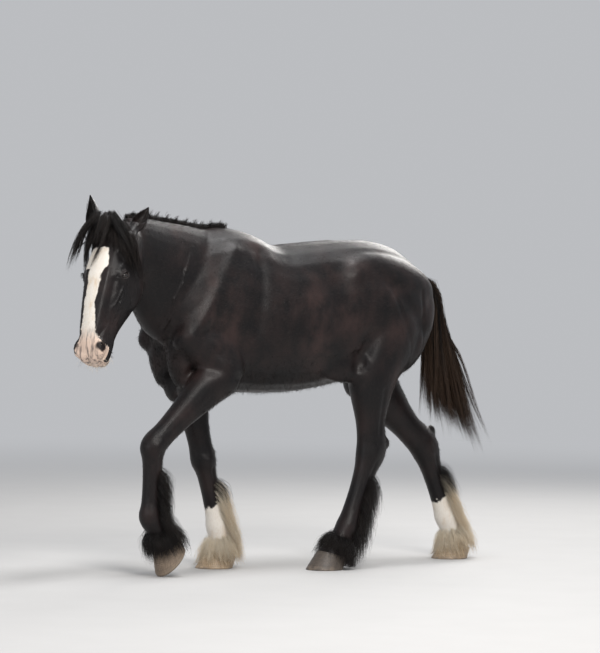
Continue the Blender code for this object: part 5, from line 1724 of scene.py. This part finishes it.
def coat_tufts(skin, name, chosen, count, rng, lookup, material):
    """Short tufts that lie on the skin, denser and longer where the coat breaks the form."""
    points = points_of(skin)[corners_of(skin.data)]
    cross = np.cross(points[:, 1] - points[:, 0], points[:, 2] - points[:, 0])
    area = np.linalg.norm(cross, axis=1)
    normals = cross / (area[:, None] + 1e-12)
    middles = points.mean(1)
    x, _, z = middles.T
    along, out, left = head_places(middles).T
    face = on_face(middles)
    under = ramp(normals[:, 2], -0.15, -0.75)
    shaggy = under * (z > 0.80) * (x > -0.85) * 0.6
    jaw = face * ramp(out, -0.17, -0.24) * (along < 0.60)
    throat = (x < -0.75) * ramp(normals[:, 0], -0.55, -0.90) * (z > 0.9) * 0.6
    back_of_leg = ramp(normals[:, 0], 0.35, 0.85) * (z < 0.95) * (z > 0.30)
    chin = face * (along > 0.64) * ramp(out, -0.08, -0.12)
    ears = face * (along < 0.03) * (np.abs(left) > 0.085)
    rough = np.clip(shaggy + jaw + throat + back_of_leg + chin + ears, 0, 1)
    bald = ramp(near_eyes(middles), 0.040, 0.024)
    nose = face * (along > 0.60) * 0.85
    weight = area * (0.22 + 2.2 * rough) * (1 - bald) * (1 - nose * (1 - chin)) * chosen(middles)
    picks = rng.choice(len(area), count, p=weight / weight.sum())
    mix = rng.dirichlet((1, 1, 1), count)
    roots = (points[picks] * mix[:, :, None]).sum(1)
    normal = normals[picks]
    flow = lie_direction(roots)
    flow -= normal * (flow * normal).sum(1)[:, None]
    flow += rng.normal(size=(count, 3)) * 0.16
    flow /= np.linalg.norm(flow, axis=1)[:, None]
    small = face[picks] | (roots[:, 2] < 0.35)
    length = (0.010 + 0.013 * rough[picks]) * rng.uniform(0.7, 1.3, count) * np.where(small, 0.6, 1.0)
    lift = 0.10 + 0.22 * rough[picks] * rng.random(count)
    steps = np.linspace(0, 1, 4)[None, :, None]
    reach = length[:, None, None]
    paths = roots[:, None] - normal[:, None] * TUFT_DEPTH
    paths = paths + flow[:, None] * reach * steps
    paths = paths + normal[:, None] * (reach * lift[:, None, None] * steps + 0.0020 * np.sin(steps * 2.4))
    widths = rng.uniform(*TUFT_WIDTHS, count) * np.where(small, 0.7, 1.0)
    piece = strands(name, paths, widths, normal, rng.random(count), lookup, material)
    return piece


def eye_mesh(side, name):
    """An eyeball with the swell of its cornea."""
    bpy.ops.mesh.primitive_uv_sphere_add(segments=64, ring_count=40, radius=EYE_RADIUS - 0.0004)
    obj = rename(bpy.context.object, name)
    points = points_of(obj)
    turn = np.array([tuple(axis) for axis in eye_axes(side)])
    swell = 1 + CORNEA_SWELL * ramp(points[:, 2] / EYE_RADIUS, 0.70, 0.95)
    gaze = np.ones((len(points), 4))
    gaze[:, :2] = 0.5 + points[:, :2] / EYE_RADIUS * 0.5
    gaze[:, 2] = points[:, 2] > 0
    put_points(obj, points * swell[:, None] @ turn + np.array(eye_centre(side)))
    put_colours(obj, "gaze", gaze)
    obj.data.shade_smooth()
    return obj


def fine_hoof(leg, name):
    """A hoof with growth rings, a soft toe, heel bulbs and a hollowed sole with its frog."""
    sides = 64
    levels = 18
    rings = []
    marks = []
    place = hoof_frame(leg)
    for shrink, hollow in ((0.08, 0.012), (0.45, 0.011), (0.82, 0.006), (0.90, 0.0)):
        ring = []
        for c, s in turns(sides):
            frog = math.exp(-((s * shrink / 0.20) ** 2)) * float(ramp(-c * shrink, -0.35, 0.05))
            depth = hollow * (1 - 0.9 * frog)
            ring.append(place @ Vector((SOLE_HALF_LENGTH * shrink * c, SOLE_HALF_WIDTH * shrink * s, depth)))
            marks.append((0, 1, 0, 1))
        rings.append(ring)
    for index in range(levels + 1):
        level = index / levels
        swell = 0.0009 * math.sin(level * 26) * (1 - level) - 0.0030 * max(0.0, 1 - level * 14)
        ring = []
        for c, s in turns(sides):
            heel = max(0.0, -c) ** 6
            groove = 0.010 * heel * math.exp(-((s / 0.22) ** 2)) * (0.4 + 0.6 * level)
            reach = swell - groove - 0.0006
            sole = Vector(((SOLE_HALF_LENGTH + reach) * c, (SOLE_HALF_WIDTH + reach) * s, 0))
            rise = CORONET_HEIGHT + (CORONET_HALF_LENGTH - 0.003) * c * math.tan(CORONET_SLOPE)
            long = (CORONET_HALF_LENGTH + reach - 0.002) * c - CORONET_SET_BACK
            top = Vector((long, (CORONET_HALF_WIDTH + reach - 0.002) * s, rise))
            ring.append(place @ sole.lerp(top, level))
            marks.append((level, 0, 0, 1))
        rings.append(ring)
    obj = rings_to_object(name, rings)
    put_colours(obj, "wall", marks)
    obj.data.shade_smooth()
    if leg["toe_down"]:
        points = points_of(obj)
        points[:, 2] = np.maximum(points[:, 2], 0.0)
        put_points(obj, points)
    return obj


def add_light(name, place, size, power, colour):
    light = bpy.data.lights.new(name, "AREA")
    light.shape = "RECTANGLE"
    light.size = size[0]
    light.size_y = size[1]
    light.energy = power
    light.color = colour
    obj = add_object(name, light)
    obj.location = place
    obj.rotation_euler = (Vector((0, 0, 1.0)) - Vector(place)).to_track_quat("-Z", "Y").to_euler()


def make_floor():
    """A wide pale floor that fades into the backdrop."""
    bpy.ops.mesh.primitive_grid_add(x_subdivisions=4, y_subdivisions=4, size=FLOOR_SIZE)
    floor = bpy.context.object
    floor.name = "studio_floor"
    material, tree, shader = new_material("pale_floor")
    colour = blend(tree, noise(tree, (3, 3, 3), 5), *FLOOR_TONES)
    feed(tree, shader, {"Base Color": colour, "Roughness": 0.85})
    glow = add_node(tree, "ShaderNodeEmission", {"Color": BACKDROP})
    places = add_node(tree, "ShaderNodeTexCoord", {}).outputs["Object"]
    length = add_node(tree, "ShaderNodeVectorMath", {0: places}, operation="LENGTH").outputs["Value"]
    values = {0: spread(tree, length, *FLOOR_FADE), 1: shader.outputs[0], 2: glow.outputs[0]}
    fade = add_node(tree, "ShaderNodeMixShader", values)
    feed(tree, tree.nodes["Material Output"], {"Surface": fade.outputs[0]})
    floor.data.materials.append(material)


def make_studio():
    """Soft lights, a pale world and the floor."""
    make_floor()
    for row in LIGHTS:
        add_light(*row)
    world = bpy.data.worlds.new("pale_room")
    world.use_nodes = True
    world.node_tree.nodes["Background"].inputs["Color"].default_value = BACKDROP
    bpy.context.scene.world = world
    bpy.context.scene.view_settings.view_transform = "Standard"


def make_camera(shift):
    """The photographer's place: ahead of the horse's left side, a long lens at eye height."""
    flat = Vector((math.sin(VIEW_AZIMUTH), math.cos(VIEW_AZIMUTH), 0))
    right = Vector((math.cos(VIEW_AZIMUTH), -math.sin(VIEW_AZIMUTH), 0))
    up = Vector((0, 0, 1))
    pitch = math.atan(HORIZON_RISE / FOCAL_PIXELS)
    look = flat * math.cos(pitch) - up * math.sin(pitch)
    high = up * math.cos(pitch) + flat * math.sin(pitch)
    x_axis = right * math.cos(VIEW_ROLL) + high * math.sin(VIEW_ROLL)
    y_axis = -right * math.sin(VIEW_ROLL) + high * math.cos(VIEW_ROLL)
    data = bpy.data.cameras.new("camera")
    data.lens = SENSOR * FOCAL_PIXELS / PICTURE_HEIGHT
    data.sensor_width = SENSOR
    data.clip_end = 200
    camera = add_object("camera", data)
    place = -flat * VIEW_DISTANCE + right * (AIM_SHIFT * VIEW_DISTANCE / FOCAL_PIXELS) + up * VIEW_HEIGHT
    turn = Matrix((x_axis, y_axis, -look)).transposed().to_4x4()
    camera.matrix_world = Matrix.Translation(place + shift) @ turn
    bpy.context.scene.camera = camera


def strand_guides():
    """Strands of the forelock that stray: over the blaze, past the far eye and behind the near eye."""
    rows = []
    for lines, count, scatter in FORELOCK_STRANDS:
        rng = random.Random(count + 3)
        for _ in range(count):
            drift = [rng.gauss(0, scatter) for _ in range(3)]
            controls = []
            for index, (along, out, left) in enumerate(lines):
                share = index / (len(lines) - 1)
                along += drift[0] * (0.4 + share)
                out += drift[1] * share * 0.6
                left += drift[2] * (0.6 + share)
                controls.append(on_head(along, out, left))
            rows.append((controls, FACE_OUT))
    return guides_from(rows)


def mane_guides(skin):
    """The mane's guides, with most of the hair that stands at the near side kept short."""
    guides, facings = guides_from(mane_paths(skin, MANE_GUIDES))
    near = np.nonzero(facings[:, 1] < 0)[0]
    for number, index in enumerate(near):
        share = 0.95 if number % 6 == 0 else 0.32 + 0.12 * (number % 3)
        guides[index] = guides[index][:1] + (guides[index] - guides[index][:1]) * share
    return guides, facings


def long_hair(skin, tree, lookup, rng):
    """Tail, mane, forelock and the feather of the four legs."""
    black_hair = hair_material("black_hair", *BLACK_HAIR)
    tail_hair = hair_material("tail_hair", *TAIL_HAIR)
    kit = (rng, lookup, black_hair)
    pieces = []
    guides, facings = guides_from(tail_paths(TAIL_GUIDES, TAIL_SEED))
    share = np.linspace(0, 1, guides.shape[1])[None, :, None]
    guides = guides + rng.normal(size=(len(guides), 1, 3)) * TAIL_SCATTER * share**1.5
    halves = (("tail_hair_left", guides[:, 0, 1] <= 0), ("tail_hair_right", guides[:, 0, 1] > 0))
    for name, chosen in halves:
        each = TAIL_HAIRS // chosen.sum()
        paths = clumped(guides[chosen], each, rng, *TAIL_CLUMP)
        piece = hair(name, paths, facings[chosen], each, TAIL_WIDTHS, rng, lookup, tail_hair, "tail_hair")
        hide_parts("tail")
        pieces.append(piece)
    guides, facings = mane_guides(skin)
    paths = clumped(guides, MANE_EACH, rng, *MANE_CLUMP)
    pieces.append(hair("mane", paths, facings, MANE_EACH, FINE_WIDTHS, *kit, "black_coat"))
    guides, facings = guides_from(forelock_paths(skin, FORELOCK_GUIDES))
    strays, stray_facings = strand_guides()
    guides = np.concatenate([guides, strays])
    facings = np.concatenate([facings, stray_facings])
    paths = push_out(clumped(guides, FORELOCK_EACH, rng, *FORELOCK_CLUMP), tree, 0.001)
    pieces.append(hair("forelock", paths, facings, FORELOCK_EACH, FINE_WIDTHS, *kit, "black_coat"))
    for index, (name, leg) in enumerate(LEGS.items()):
        hind = name.startswith("hind")
        paths = feather_paths(leg, skin, hind, FEATHER_BACK, FEATHER_RING, FEATHER_SEED + index)
        guides, facings = guides_from(paths)
        reach = 1 + 0.30 * rng.random((len(guides), 1, 1))
        guides = guides[:, :1] + (guides - guides[:, :1]) * reach
        paths = clumped(guides, FEATHER_EACH, rng, *FEATHER_CLUMP)
        paths[:, :, 2] = np.maximum(paths[:, :, 2], FEATHER_LOWEST)
        paths = clear_of_feet(leg, paths)
        slot = "white_hair" if name in STOCKING_HEIGHTS else "black_coat"
        pieces.append(hair(name + "_feather", paths, facings, FEATHER_EACH, FEATHER_WIDTHS, *kit, slot, 3))
    pieces.append(fine_hairs(tree, *kit))
    return pieces


def fine_hairs(tree, rng, lookup, material):
    """Eyelashes, the hair in the ears and the whiskers of the lips and chin."""
    # Each hair is its start, its way, its length and how far it falls
    rows = []
    for side in (-1, 1):
        long, short, look = eye_axes(side)
        upward = 1 if short.dot(FACE_OUT - FACE_DOWN * 0.4) > 0 else -1
        for step in range(LASHES):
            angle = math.pi * (0.12 + 0.76 * step / (LASHES - 1))
            x = LID_HALF_LENGTH * math.cos(angle)
            y = 0.0150 * math.sin(angle) * upward
            depth = math.sqrt(max((EYE_RADIUS + 0.007) ** 2 - x * x - y * y, 0))
            start = eye_centre(side) + long * x + short * y + look * depth
            way = look * 0.8 + short * upward * (0.35 + 0.2 * rng.random()) + long * x * 12
            rows.append((start, way, 0.010 + 0.004 * rng.random(), 0.35))
    for name in EARS:
        base, tip, axis, faces = ear_places(name)
        across = axis.cross(faces)
        for _ in range(EAR_HAIRS):
            share = rng.uniform(0.10, 0.80)
            width = float(np.interp(share, [row[0] for row in EAR], [row[1] for row in EAR]))
            turn = rng.uniform(-1.9, 1.9)
            start = base.lerp(tip, share) + (across * math.sin(turn) - faces * math.cos(turn)) * width * 0.80
            way = faces * 0.7 - across * math.sin(turn) * 0.6 + axis * 0.9
            rows.append((start, way, rng.uniform(0.016, 0.034) * (1.15 - 0.6 * share), 0.1))
    for _ in range(WHISKERS):
        spot = on_head(rng.uniform(0.655, 0.715), rng.uniform(-0.125, -0.030), rng.uniform(-0.07, 0.07))
        start, normal, _, _ = tree.find_nearest(spot)
        way = normal + Vector(rng.normal(size=3) * 0.25)
        rows.append((start, way, rng.uniform(0.012, 0.036), 0.35))
    steps = np.linspace(0, 1, 5)[None, :, None]
    starts = np.array([tuple(row[0]) for row in rows])[:, None]
    ways = np.array([tuple(row[1].normalized()) for row in rows])[:, None]
    lengths = np.array([row[2] for row in rows])[:, None, None]
    falls = np.array([row[3] for row in rows])[:, None]
    paths = starts + ways * lengths * steps
    paths[:, :, 2] -= (falls * lengths[:, :, 0]) * steps[:, :, 0] ** 2
    widths = np.full(len(paths), WHISKER_WIDTH)
    facings = ways[:, 0] * 0 + np.array(FACE_OUT)
    piece = strands("fine_hairs", paths, widths, facings, rng.random(len(paths)), lookup, material)
    return piece


def short_hair(skin, lookup, rng):
    """The short coat's tufts, on the fore and on the hind half."""
    kit = (TUFTS, rng, lookup, hair_material("fur_tufts", *FUR_TUFTS))
    return [
        coat_tufts(skin, "coat_fore", lambda places: places[:, 0] < COAT_PARTING, *kit),
        coat_tufts(skin, "coat_hind", lambda places: places[:, 0] >= COAT_PARTING, *kit),
    ]


def eyes_and_hooves():
    wet = eye_material()
    pieces = []
    for name, side in (("eye_left", 1), ("eye_right", -1)):
        eye = eye_mesh(side, name + "_ball")
        eye.data.materials.append(wet)
        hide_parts(name)
        pieces.append(eye)
    pale = horn_material("pale_horn", *PALE_HORN)
    brown = horn_material("brown_horn", *BROWN_HORN)
    dark = horn_material("dark_horn", *DARK_HORN)
    horns = {"fore_left": brown, "hind_left": dark}
    for name, leg in LEGS.items():
        piece = fine_hoof(leg, name + "_horn")
        piece.data.materials.append(horns.get(name, pale))
        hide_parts(name + "_hoof")
        pieces.append(piece)
    return pieces


def main():
    lows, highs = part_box("eye_left")
    shift = (Vector(lows) + Vector(highs)) / 2 - eye_centre(1)
    shift.z = 0
    rng = np.random.default_rng(HAIR_SEED)
    skin = make_skin()
    points = points_of(skin)
    put_colours(skin, "marks", markings(points))
    put_colours(skin, "lie", lie_of(points))
    skin.data.materials.clear()
    skin.data.materials.append(coat_material())
    lookup = bake_lookup(skin)
    tree = tree_of(points, corners_of(skin.data))
    pieces = long_hair(skin, tree, lookup, rng) + short_hair(skin, lookup, rng) + eyes_and_hooves()
    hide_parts(*FLESH)
    pieces.append(skin)
    for piece in pieces:
        piece.data.transform(Matrix.Translation(shift))
        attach(piece, "root")
    make_studio()
    make_camera(shift)


main()
